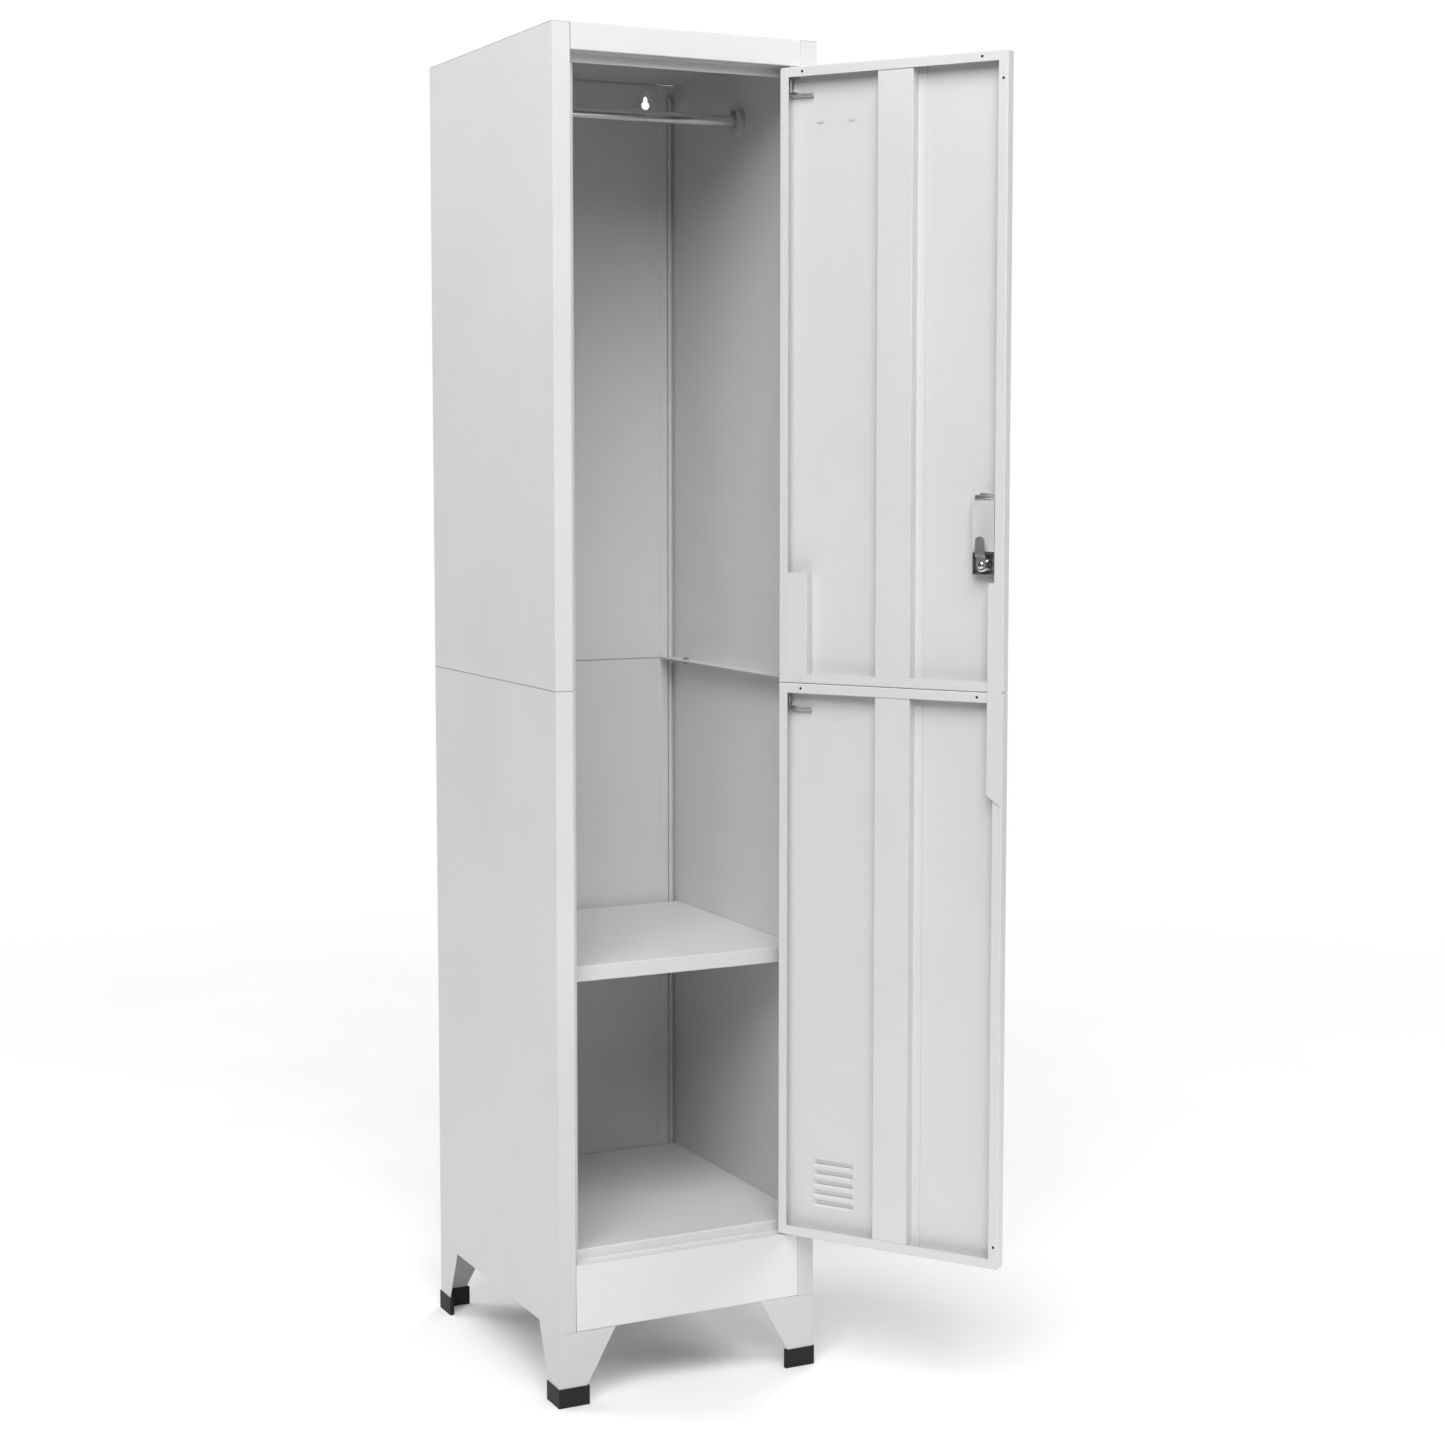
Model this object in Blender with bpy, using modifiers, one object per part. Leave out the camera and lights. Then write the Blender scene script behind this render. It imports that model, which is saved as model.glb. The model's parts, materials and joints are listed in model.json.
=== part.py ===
"""A one-column steel wardrobe locker on four tapered legs, with its tall door open.

Units are metres, with +Z up. The cabinet's own coordinates run from its front left corner on
the floor: X to the right, Y to the back. The door's own coordinates have their origin on the
hinge axis: with the door closed, x runs to the right and y to the back, like the cabinet's.
"""

import math

import bmesh
import bpy
import numpy as np
from mathutils import Matrix, Vector

# Cabinet
WIDTH = 0.380
DEPTH = 0.450
HEIGHT = 1.800
LEG_HEIGHT = 0.100
SEAM_Z = 0.950
SHEET = 0.0008
GAP = 0.0003
FOLD_RADIUS = 0.0012
FOLD_STEPS = 4
STILE = 0.025
REBATE = 0.0234
STOP_LIP = 0.0125
TOP_RAIL_Z = 1.7654
TOP_BACK_FLANGE = 0.014
LEDGE_Z = 0.1884
FLOOR_Z = 0.2030
FLOOR_BACK = 0.4425
RETURN = 0.025
SEAM_GAP = 0.0008
OVERLAP = 0.0001
MARGIN = 0.010
SMOOTH_ANGLE = math.radians(35)
SEAM_FLANGE_Y = (0.0274, 0.4398)
SIDE_NOTCH_Y = (0.0194, 0.0264)
TOP_FLANGE_Y = (0.0334, 0.4378)
TOP_FLANGE_DEPTH = 0.022
FLOOR_FLANGE_Y = (0.0354, 0.4358)
FLOOR_FLANGE_DEPTH = 0.020

# Back
BACK_Y = 0.4478
BACK_EDGE = 0.0052
BACK_RIDGE = 0.0042
BACK_GROOVE = 0.0024
BACK_RIB_HEIGHT = 0.0044
BACK_STRIP = 0.0115
BACK_STEP = 0.0018
BACK_FOLD_RADIUS = 0.0006
BACK_TOP = HEIGHT - 0.004
BACK_RIB_TOP = 1.779
LAP = 0.012

# Bolts
SEAM_BOLTS_Y = (0.070, 0.375)
BOLT_INSET = 0.014
BOLT_RADIUS = 0.0025
BOLT_HOLE = 0.0029
BOLT_HEAD_RADIUS = 0.0044
BOLT_HEAD_THICK = 0.0032
BOLT_SPARE = 0.0008
DOOR_BOLTS = (0.075, 0.255)
DOOR_BOLT_Y = 0.004

# Interior
SHELF_Z = 0.580
SHELF_FRONT = 0.040
SHELF_BACK = 0.430
SHELF_EDGE = 0.021
SHELF_HEM = 0.010
SHELF_FLANGE_Y = (0.054, 0.426)
SHELF_FLANGE_DEPTH = 0.012
CLIP_Y = (0.085, 0.385)
CLIP_WIDTH = 0.018
CLIP_HEIGHT = 0.018
CLIP_REACH = 0.012
CLIP_THICK = 0.001
RAIL_Z = 1.720
RAIL_Y = 0.225
RAIL_RADIUS = 0.008
RAIL_WALL = 0.001
RAIL_INSET = 0.0032
SOCKET_RADIUS = 0.0185
SOCKET_DEPTH = 0.0095
SOCKET_BACK = 0.0018
KEYHOLE_X = 0.0455
KEYHOLE_Z = 1.767
KEYHOLE_RADIUS = 0.0065
KEYHOLE_SLOT = 0.0068
KEYHOLE_TOP = 1.780

# Legs
LEG_SHEET = 0.0012
LEG_FOLD_RADIUS = 0.0010
LEG_BOLT_Y = 0.0345
LEG_TAB = (0.030, 0.045)
LEG_TAPER_START = 0.001
LEG_FRONT_TOP = 0.081
LEG_FRONT_BOTTOM = 0.040
LEG_SIDE_TOP = 0.069
LEG_SIDE_BOTTOM = 0.038
CAP_HEIGHT = 0.026
CAP_PROUD = 0.001
CAP_THICK = 0.006
CAP_ARM_X = 0.043
CAP_ARM_Y = 0.041
CAP_FLOOR = 0.004

# Door
OPEN_ANGLE = math.radians(124)
DOOR_WIDTH = 0.326
DOOR_GAP = 0.002
PAN_DEPTH = 0.018
PAN_LIP = 0.013
PAN_RADIUS = 0.0016
PIVOT_INSET = 0.0095
PIVOT_DEPTH = 0.005
DOOR_BOTTOM = 0.1905
DOOR_SPLIT = 0.9490
DOOR_TOP = 1.7625
HALF_GAP = 0.0003
STIFFENER_FACE = (0.142, 0.194)
STIFFENER_FLANGE = 0.012
STIFFENER_SLOPE = 0.001
CHANNEL_WIDTH = 0.041
CHANNEL_FLANGE = 0.012
CHANNEL_INSET = 0.0031
CHANNEL_Z = (0.9519, 1.097)
SPLICE_WIDTH = 0.021
SPLICE_Z = (0.802, 1.090)
SPLICE_SLANT = 0.014
SPLICE_CORNER = 0.003
SPLICE_THICK = 0.0012
SPLICE_INSET = 0.0012
SMALL_HOLE = 0.0019
HOLE_INSETS = (0.033, 0.290)
EDGE_HOLES = (1.727, 0.220)

# Hinge pins
PIN_RADIUS = 0.0025
PIN_HOLE = 0.0029
PIN_RISE = 0.007
PIN_ARM = 0.033
PIN_BEND = 0.004
PIN_DROP = 0.0042
PIN_COLLAR_RADIUS = 0.0038
PIN_COLLAR_THICK = 0.0018
PIN_TAIL = 0.006
PIN_HEAD_RADIUS = 0.0040
PIN_HEAD_THICK = 0.0022
PIN_TIP_RADIUS = 0.0019
WASHER_RADIUS = 0.0046
PIN_EARS = (0.0315, 0.0140)
BRACKET_REACH = 0.0185
BRACKET_THICK = 0.001
BRACKET_BACK = 0.0060
SPRING_RADIUS = 0.0033
SPRING_WIRE = 0.0004
SPRING_TURNS = 5
SPRING_STEPS = 10

# Lock and handle
CUP_SIDES = (0.2805, 0.3115)
CUP_Z = (1.1302, 1.2020)
CASE_Z = (1.1003, 1.1292)
CUP_BACK = 0.0108
CUP_WALL = 0.0014
CASE_WALL = 0.0012
BEZEL = 0.0035
BEZEL_THICK = 0.0012
LOCK_INSET = 0.296
LOCK_Z = 1.113
BARREL_RADIUS = 0.0085
BARREL_BORE = 0.0060
BARREL_END = 0.0157
BARREL_HEAD = 0.0102
BARREL_HEAD_THICK = 0.0012
BARREL_CHAMFER = (0.0094, 0.0006)
NUT_RADIUS = 0.0112
NUT_THICK = 0.0035
PLUG_RADIUS = 0.0057
PLUG_SINK = 0.0015
KEY_SLOT = (0.0014, 0.0080, 0.004)
DRIVE_HALF = 0.0030
CAM_Y = (0.0165, 0.0183)
CAM_REACH = 0.037
CAM_WIDTH = 0.0125
CAM_HUB = 0.0006
CAM_CRANK = 0.0040
CAM_CRANK_Z = (0.0100, 0.0135)
SCREW_RADIUS = 0.0013
SCREW_BORE = 0.0016
SCREW_LENGTH = 0.006
SCREW_HEAD = ((0.0030, 0.0022), (0.0048, 0.0008))

# Ventilation and label
LOUVRE_SIDES = (0.045, 0.106)
LOUVRE_Z = 0.236
LOUVRE_PITCH = 0.014
LOUVRE_COUNT = 5
LOUVRE_HEIGHT = 0.0104
LABEL_SIDES = (0.042, 0.107)
LABEL_Z = (1.687, 1.725)
LABEL_SLOT_SIDES = ((0.047, 0.056), (0.093, 0.102))
LABEL_SLOT_Z = (1.6890, 1.6915)
LABEL_THICK = 0.0018
LABEL_RIM = 0.004
LABEL_FOOT = 0.0065
LABEL_HOOK = (0.001, 0.0006)

FRONT = -PIVOT_DEPTH
PAN_BACK = PAN_DEPTH - PIVOT_DEPTH
PIVOT = Vector((WIDTH - STILE - DOOR_GAP - PIVOT_INSET, PIVOT_DEPTH, 0))
FAR = 0.05


# ---------------------------------------------------------------- scene and materials


def clear_scene():
    for old in list(bpy.data.objects):
        bpy.data.objects.remove(old)


def new_collection(name):
    collection = bpy.data.collections.new(name)
    bpy.context.scene.collection.children.link(collection)
    return collection


def principled(name, color, roughness, metallic):
    material = bpy.data.materials.new(name)
    material.use_nodes = True
    shader = material.node_tree.nodes["Principled BSDF"]
    shader.inputs["Base Color"].default_value = (*color, 1)
    shader.inputs["Roughness"].default_value = roughness
    shader.inputs["Metallic"].default_value = metallic
    return material


clear_scene()
PARTS = new_collection("locker_cabinet")
CUTTERS = new_collection("cutters")
PAINT = principled("light_grey_paint", (0.66, 0.66, 0.67), 0.42, 0.0)
CUP_PLASTIC = principled("grey_plastic", (0.60, 0.60, 0.61), 0.45, 0.0)
BLACK_PLASTIC = principled("black_plastic", (0.035, 0.035, 0.037), 0.55, 0.0)
WHITE_PLASTIC = principled("white_nylon", (0.80, 0.80, 0.78), 0.50, 0.0)
CHROME = principled("chrome", (0.80, 0.80, 0.82), 0.12, 1.0)
ZINC = principled("zinc_plated_steel", (0.56, 0.56, 0.58), 0.35, 1.0)
DARK_STEEL = principled("dark_steel", (0.16, 0.16, 0.17), 0.40, 1.0)
SPRING_STEEL = principled("spring_steel", (0.45, 0.45, 0.47), 0.30, 1.0)


# ---------------------------------------------------------------- shapes


def add(name, data, location, parent, material=None):
    """An object of the assembly, placed in its parent's coordinates."""
    made = bpy.data.objects.new(name, data)
    made.location = location
    made.parent = parent
    PARTS.objects.link(made)
    if material:
        data.materials.append(material)
    return made


def pivot(name, location, parent=None, turn=0.0):
    """An empty that carries the pieces of one moving body."""
    made = add(name, None, location, parent)
    made.rotation_euler.z = turn
    made.empty_display_size = 0.05
    return made


def box(name, low, high, parent, material=None):
    """A box between two corners, with its origin at its middle."""
    low, high = Vector(low), Vector(high)
    mesh = bpy.data.meshes.new(name)
    bm = bmesh.new()
    bmesh.ops.create_cube(bm, size=1)
    bmesh.ops.scale(bm, vec=high - low, verts=bm.verts)
    bm.to_mesh(mesh)
    bm.free()
    return add(name, mesh, (low + high) / 2, parent, material)


def rod(name, start, length, radius, parent, material=None, axis="Z", sides=16):
    """A round bar from its start point, along an axis, as far as length."""
    turns = {
        "X": Matrix.Rotation(math.pi / 2, 4, "Y"),
        "Y": Matrix.Rotation(-math.pi / 2, 4, "X"),
        "Z": Matrix.Identity(4),
    }
    mesh = bpy.data.meshes.new(name)
    bm = bmesh.new()
    bmesh.ops.create_cone(
        bm,
        cap_ends=True,
        segments=sides,
        radius1=radius,
        radius2=radius,
        depth=length,
        matrix=turns[axis] @ Matrix.Translation((0, 0, length / 2)),
    )
    bm.to_mesh(mesh)
    bm.free()
    mesh.shade_smooth()
    mesh.set_sharp_from_angle(angle=SMOOTH_ANGLE)
    return add(name, mesh, start, parent, material)


def as_mesh(curve_object):
    """The same shape as a mesh object with its caps welded on. The curve is removed."""
    bpy.context.view_layer.update()
    graph = bpy.context.evaluated_depsgraph_get()
    mesh = bpy.data.meshes.new_from_object(curve_object.evaluated_get(graph))
    bm = bmesh.new()
    bm.from_mesh(mesh)
    bmesh.ops.remove_doubles(bm, verts=bm.verts, dist=1e-6)
    bmesh.ops.recalc_face_normals(bm, faces=bm.faces)
    bm.to_mesh(mesh)
    bm.free()
    name = curve_object.name
    parent = curve_object.parent
    placed = curve_object.matrix_local.copy()
    bpy.data.objects.remove(curve_object)
    made = add(name, mesh, (0, 0, 0), parent)
    made.matrix_local = placed
    mesh.shade_smooth()
    mesh.set_sharp_from_angle(angle=SMOOTH_ANGLE)
    return made


PLANES = {
    # plane of the outline: rotation that stands it up, and the direction of its extrusion
    "XY": ((0, 0, 0), Vector((0, 0, 1))),
    "YZ": ((math.pi / 2, 0, math.pi / 2), Vector((1, 0, 0))),
    "XZ": ((math.pi / 2, 0, 0), Vector((0, -1, 0))),
}


def extrusion(name, outline, plane, span, parent, material=None):
    """A closed outline in a plane, extruded over a span of the third direction."""
    curve = bpy.data.curves.new(name, "CURVE")
    curve.dimensions = "2D"
    curve.fill_mode = "BOTH"
    curve.extrude = (span[1] - span[0]) / 2
    spline = curve.splines.new("POLY")
    spline.points.add(len(outline) - 1)
    for point, (u, v) in zip(spline.points, outline):
        point.co = (u, v, 0, 1)
    spline.use_cyclic_u = True
    turn, direction = PLANES[plane]
    middle = (span[0] + span[1]) / 2
    made = add(name, curve, middle * Vector(map(abs, direction)), parent)
    made.rotation_euler = turn
    made = as_mesh(made)
    if material:
        made.data.materials.append(material)
    return made


def folded(path, thickness=SHEET, radius=FOLD_RADIUS):
    """The closed outline of a sheet that follows a centre line, with a round fold at each corner."""
    points = [Vector(p) for p in path]
    left, right = [], []
    for i, point in enumerate(points):
        before = (point - points[i - 1]).normalized() if i else None
        after = (points[i + 1] - point).normalized() if i < len(points) - 1 else None
        if before is None or after is None:
            along = after or before
            across = Vector((-along.y, along.x)) * thickness / 2
            left.append(point + across)
            right.append(point - across)
            continue
        turn = math.atan2(before.cross(after), before.dot(after))
        side = math.copysign(1, turn)
        start = point - before * radius * math.tan(abs(turn) / 2)
        inward = Vector((-before.y, before.x)) * side
        centre = start + inward * radius
        for step in range(FOLD_STEPS + 1):
            spoke = Matrix.Rotation(turn * step / FOLD_STEPS, 2) @ -inward
            left.append(centre + spoke * (radius - side * thickness / 2))
            right.append(centre + spoke * (radius + side * thickness / 2))
    return left + right[::-1]


def arc(centre, radius, start, end, steps):
    """Points along an arc, from one angle to another, in degrees."""
    angles = [math.radians(start + (end - start) * i / steps) for i in range(steps + 1)]
    return [
        (centre[0] + radius * math.cos(a), centre[1] + radius * math.sin(a)) for a in angles
    ]


def cut(target, *tools, operation="DIFFERENCE"):
    """Boolean each tool with the target, and put the tool with the cutters."""
    for tool in tools:
        modifier = target.modifiers.new(tool.name, "BOOLEAN")
        modifier.operation = operation
        modifier.solver = "EXACT"
        modifier.object = tool
        PARTS.objects.unlink(tool)
        CUTTERS.objects.link(tool)
        tool.hide_render = True
        tool.display_type = "WIRE"
    return target


def fuse(target, *tools):
    return cut(target, *tools, operation="UNION")


def round_edges(target, width, segments=2):
    bevel = target.modifiers.new("rounded edges", "BEVEL")
    bevel.width = width
    bevel.segments = segments
    bevel.limit_method = "ANGLE"
    bevel.angle_limit = math.radians(40)
    return target


def turned(name, profile, sides, location, parent, material, axis="Z"):
    """A solid of revolution. The profile's (radius, height) points run from top to bottom."""
    mesh = bpy.data.meshes.new(name)
    bm = bmesh.new()
    corners = [bm.verts.new((radius, 0, height)) for radius, height in profile]
    for first, second in zip(corners, corners[1:]):
        bm.edges.new((first, second))
    bm.to_mesh(mesh)
    bm.free()
    made = add(name, mesh, location, parent, material)
    if axis == "Y":
        made.rotation_euler.x = -math.pi / 2
    screw = made.modifiers.new("turned", "SCREW")
    screw.steps = screw.render_steps = sides
    screw.use_merge_vertices = True
    screw.merge_threshold = 0.00001
    screw.use_smooth_shade = True
    return made


# ---------------------------------------------------------------- the cabinet's sheets


def side_profile(mirrored):
    """Plan of a side panel: stop lip, door rebate, front stile, side, and the flange behind the back."""
    half = SHEET / 2
    path = [
        (STILE + STOP_LIP, REBATE),
        (STILE - half, REBATE),
        (STILE - half, half),
        (half, half),
        (half, DEPTH - half),
        (STILE, DEPTH - half),
    ]
    if mirrored:
        path = [(WIDTH - x, y) for x, y in path]
    return folded(path)


def side_panels(parent):
    """Both sides, each in a lower and an upper half that meet in bolted inward flanges."""
    for side, mirrored in (("left", False), ("right", True)):
        halves = (
            ("lower", LEG_HEIGHT, SEAM_Z - GAP / 2),
            ("upper", SEAM_Z + GAP / 2, HEIGHT - SHEET - GAP),
        )
        for half, bottom, top in halves:
            name = f"{side}_side_{half}"
            panel = extrusion(name, side_profile(mirrored), "XY", (bottom, top), parent, PAINT)

            def across(x_low, x_high):
                return (WIDTH - x_high, WIDTH - x_low) if mirrored else (x_low, x_high)

            seam = top - SHEET if half == "lower" else bottom
            flanges = [(seam, OVERLAP, RETURN + SHEET)]
            if half == "lower":
                flanges.append((bottom, OVERLAP, RETURN))
            for number, (flange_z, overlap, reach) in enumerate(flanges):
                x = across(SHEET - overlap, reach)
                low = (x[0], SEAM_FLANGE_Y[0], flange_z)
                high = (x[1], SEAM_FLANGE_Y[1], flange_z + SHEET)
                fuse(panel, box(f"{name}_flange_{number}", low, high, parent))
            x = across(STILE + GAP, FAR)
            notch = (bottom - MARGIN, FLOOR_Z + GAP)
            if half == "upper":
                notch = (TOP_RAIL_Z - STOP_LIP - 2 * GAP, top + MARGIN)
            low = (x[0], SIDE_NOTCH_Y[0], notch[0])
            high = (x[1], SIDE_NOTCH_Y[1], notch[1])
            cut(panel, box(f"{name}_notch", low, high, parent))
            holes = [(y, seam) for y in SEAM_BOLTS_Y]
            if half == "lower":
                holes += [(y, bottom) for y in (LEG_BOLT_Y, DEPTH - LEG_BOLT_Y)]
            for number, (y, z) in enumerate(holes):
                start = (across(BOLT_INSET, BOLT_INSET)[0], y, z - MARGIN)
                cut(panel, rod(f"{name}_hole_{number}", start, 2 * MARGIN, BOLT_HOLE, parent))


def keyhole(name, x, parent):
    """A round hole that narrows upwards into a slot, through the back."""
    open_angle = math.degrees(math.asin(KEYHOLE_SLOT / 2 / KEYHOLE_RADIUS))
    slot_top = KEYHOLE_TOP - KEYHOLE_SLOT / 2
    big = arc((x, KEYHOLE_Z), KEYHOLE_RADIUS, 90 + open_angle, 450 - open_angle, 14)
    small = arc((x, slot_top), KEYHOLE_SLOT / 2, 0, 180, 6)
    return extrusion(name, big + small, "XZ", (BACK_Y - MARGIN, BACK_Y + MARGIN), parent)


def back_plan():
    """Plan of a back sheet: at each edge a return, a ridge, a groove and a flat strip, then the field."""
    front = BACK_Y - BACK_RIB_HEIGHT
    groove = BACK_EDGE + BACK_RIDGE
    strip = groove + BACK_GROOVE
    field = strip + BACK_STRIP
    half_plan = [
        (BACK_EDGE, BACK_Y + SHEET / 2),
        (BACK_EDGE, front),
        (groove, front),
        (groove, BACK_Y),
        (strip, BACK_Y),
        (strip, front),
        (field, front),
        (field + BACK_STEP, front + BACK_STEP),
    ]
    return half_plan + [(WIDTH - x, y) for x, y in reversed(half_plan)]


def back_panels(parent):
    """Two back sheets in front of the side flanges. The lower one laps behind the upper one."""
    outline = folded(back_plan(), radius=BACK_FOLD_RADIUS)
    lower_top = SEAM_Z - SEAM_GAP / 2
    upper_span = (SEAM_Z + SEAM_GAP / 2, BACK_TOP)
    upper = extrusion("back_upper", outline, "XY", upper_span, parent, PAINT)
    lower = extrusion("back_lower", outline, "XY", (LEG_HEIGHT, lower_top), parent, PAINT)
    for number, x in enumerate((KEYHOLE_X, WIDTH - KEYHOLE_X)):
        cut(upper, keyhole(f"keyhole_{number}", x, parent))
    rib_edge = BACK_EDGE + BACK_RIDGE + BACK_GROOVE / 2
    for number, x in enumerate(((-FAR, rib_edge), (WIDTH - rib_edge, WIDTH + FAR))):
        low = (x[0], BACK_Y - FAR, BACK_RIB_TOP)
        cut(upper, box(f"rib_end_{number}", low, (x[1], BACK_Y + FAR, HEIGHT + FAR), parent))

    field_back = BACK_Y - BACK_RIB_HEIGHT + BACK_STEP + SHEET / 2
    side = RETURN + GAP + SHEET
    low = (side, field_back + GAP, lower_top - LAP)
    high = (WIDTH - side, field_back + GAP + SHEET, SEAM_Z + LAP)
    lap = box("back_lap", low, high, parent)
    low = (side, field_back - SHEET / 2, lower_top - LAP)
    high = (WIDTH - side, field_back + GAP + SHEET / 2, lower_top - LAP / 2)
    fuse(lower, fuse(lap, box("back_lap_weld", low, high, parent)))


def top_panel(parent):
    """The top, folded down in front into the rail and the door's stop, and down behind."""
    half = SHEET / 2
    profile = [
        (REBATE, TOP_RAIL_Z - STOP_LIP),
        (REBATE, TOP_RAIL_Z),
        (half, TOP_RAIL_Z),
        (half, HEIGHT - half),
        (DEPTH - half, HEIGHT - half),
        (DEPTH - half, HEIGHT - TOP_BACK_FLANGE),
    ]
    top = extrusion("top_panel", folded(profile), "YZ", (0, WIDTH), parent, PAINT)
    for number, x in enumerate(((-FAR, STILE + GAP), (WIDTH - STILE - GAP, WIDTH + FAR))):
        low = (x[0], -FAR, HEIGHT - FAR)
        high = (x[1], DEPTH + FAR, HEIGHT - SHEET + OVERLAP)
        cut(top, box(f"top_corner_{number}", low, high, parent))
    inset = SHEET + GAP
    for number, x in enumerate((inset, WIDTH - inset - SHEET)):
        low = (x, TOP_FLANGE_Y[0], HEIGHT - TOP_FLANGE_DEPTH)
        high = (x + SHEET, TOP_FLANGE_Y[1], HEIGHT - SHEET / 2)
        fuse(top, box(f"top_flange_{number}", low, high, parent))
    start = PIVOT + Vector((0, 0, TOP_RAIL_Z - MARGIN / 2))
    cut(top, rod("top_pin_hole", start, MARGIN, PIN_HOLE, parent))


def bottom_panel(parent):
    """The compartment floor, stepped down to the ledge under the door and on into the skirt."""
    half = SHEET / 2
    profile = [
        (RETURN, LEG_HEIGHT + half),
        (half, LEG_HEIGHT + half),
        (half, LEDGE_Z),
        (REBATE, LEDGE_Z),
        (REBATE, FLOOR_Z - half),
        (FLOOR_BACK, FLOOR_Z - half),
        (FLOOR_BACK, FLOOR_Z - FLOOR_FLANGE_DEPTH),
    ]
    inset = SHEET + GAP
    width = (inset, WIDTH - inset)
    floor = extrusion("bottom_panel", folded(profile), "YZ", width, parent, PAINT)
    for number, x in enumerate(((-FAR, STILE + GAP), (WIDTH - STILE - GAP, WIDTH + FAR))):
        low = (x[0], -FAR, LEG_HEIGHT - FAR)
        high = (x[1], SIDE_NOTCH_Y[1], FLOOR_Z + FAR)
        cut(floor, box(f"floor_corner_{number}", low, high, parent))
    for number, x in enumerate((inset, WIDTH - inset - SHEET)):
        low = (x, FLOOR_FLANGE_Y[0], FLOOR_Z - FLOOR_FLANGE_DEPTH)
        high = (x + SHEET, FLOOR_FLANGE_Y[1], FLOOR_Z - SHEET / 2)
        fuse(floor, box(f"floor_flange_{number}", low, high, parent))
    start = PIVOT + Vector((0, 0, LEDGE_Z - MARGIN / 2))
    cut(floor, rod("ledge_pin_hole", start, MARGIN, PIN_HOLE, parent))


# ---------------------------------------------------------------- inside


def shelf(parent):
    """A sheet folded down on all four sides, resting on four clips."""
    half = SHEET / 2
    front, back = SHELF_FRONT + half, SHELF_BACK - half
    profile = [
        (front + SHELF_HEM, SHELF_Z - SHELF_EDGE + half),
        (front, SHELF_Z - SHELF_EDGE + half),
        (front, SHELF_Z - half),
        (back, SHELF_Z - half),
        (back, SHELF_Z - SHELF_EDGE),
    ]
    inset = SHEET + 2 * GAP
    width = (inset, WIDTH - inset)
    made = extrusion("shelf", folded(profile), "YZ", width, parent, PAINT)
    for number, x in enumerate((inset, WIDTH - inset - SHEET)):
        low = (x, SHELF_FLANGE_Y[0], SHELF_Z - SHELF_FLANGE_DEPTH)
        high = (x + SHEET, SHELF_FLANGE_Y[1], SHELF_Z - SHEET / 2)
        fuse(made, box(f"shelf_flange_{number}", low, high, parent))

    top = SHELF_Z - SHELF_FLANGE_DEPTH - GAP - CLIP_THICK / 2
    for side, mirrored in (("left", False), ("right", True)):
        for place, y in zip(("front", "back"), CLIP_Y):
            wall = SHEET + GAP + CLIP_THICK / 2
            path = [(wall, top - CLIP_HEIGHT), (wall, top), (wall + CLIP_REACH, top)]
            if mirrored:
                path = [(WIDTH - x, z) for x, z in path]
            outline = folded(path, thickness=CLIP_THICK)
            name = f"shelf_clip_{side}_{place}"
            span = (y - CLIP_WIDTH / 2, y + CLIP_WIDTH / 2)
            extrusion(name, outline, "XZ", span, parent, ZINC)


def hanging_rail(parent):
    """A steel tube whose ends stand in open-topped sockets on the side walls."""
    ends = (RAIL_INSET, WIDTH - RAIL_INSET)
    start = (ends[0], RAIL_Y, RAIL_Z)
    length = ends[1] - ends[0]
    rail = rod("hanging_rail", start, length, RAIL_RADIUS, parent, CHROME, "X", 20)
    bore_start = (ends[0] - MARGIN, RAIL_Y, RAIL_Z)
    bore_radius = RAIL_RADIUS - RAIL_WALL
    bore = rod("rail_bore", bore_start, length + 2 * MARGIN, bore_radius, parent, None, "X", 20)
    cut(rail, bore)
    for side, mirrored in (("left", False), ("right", True)):
        name = f"rail_socket_{side}"

        def along(start_x, length_x):
            return WIDTH - start_x - length_x if mirrored else start_x

        wall = SHEET + GAP
        start = (along(wall, SOCKET_DEPTH), RAIL_Y, RAIL_Z)
        socket = rod(name, start, SOCKET_DEPTH, SOCKET_RADIUS, parent, CUP_PLASTIC, "X", 32)
        depth = 2 * MARGIN
        cradle_start = (along(wall + SOCKET_BACK, depth), RAIL_Y, RAIL_Z)
        radius = RAIL_RADIUS + GAP
        low = (cradle_start[0], RAIL_Y - radius, RAIL_Z)
        high = (low[0] + depth, RAIL_Y + radius, RAIL_Z + FAR)
        cradle = rod(f"{name}_cradle", cradle_start, depth, radius, parent, None, "X", 20)
        cut(socket, cradle, box(f"{name}_mouth", low, high, parent))


# ---------------------------------------------------------------- legs


def legs(parent):
    """Four folded legs with tapered faces, each bolted up under the body and capped."""
    for place, flip_y in (("front", False), ("back", True)):
        for side, flip_x in (("left", False), ("right", True)):
            leg(f"{place}_{side}", flip_x, flip_y, parent)


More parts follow.
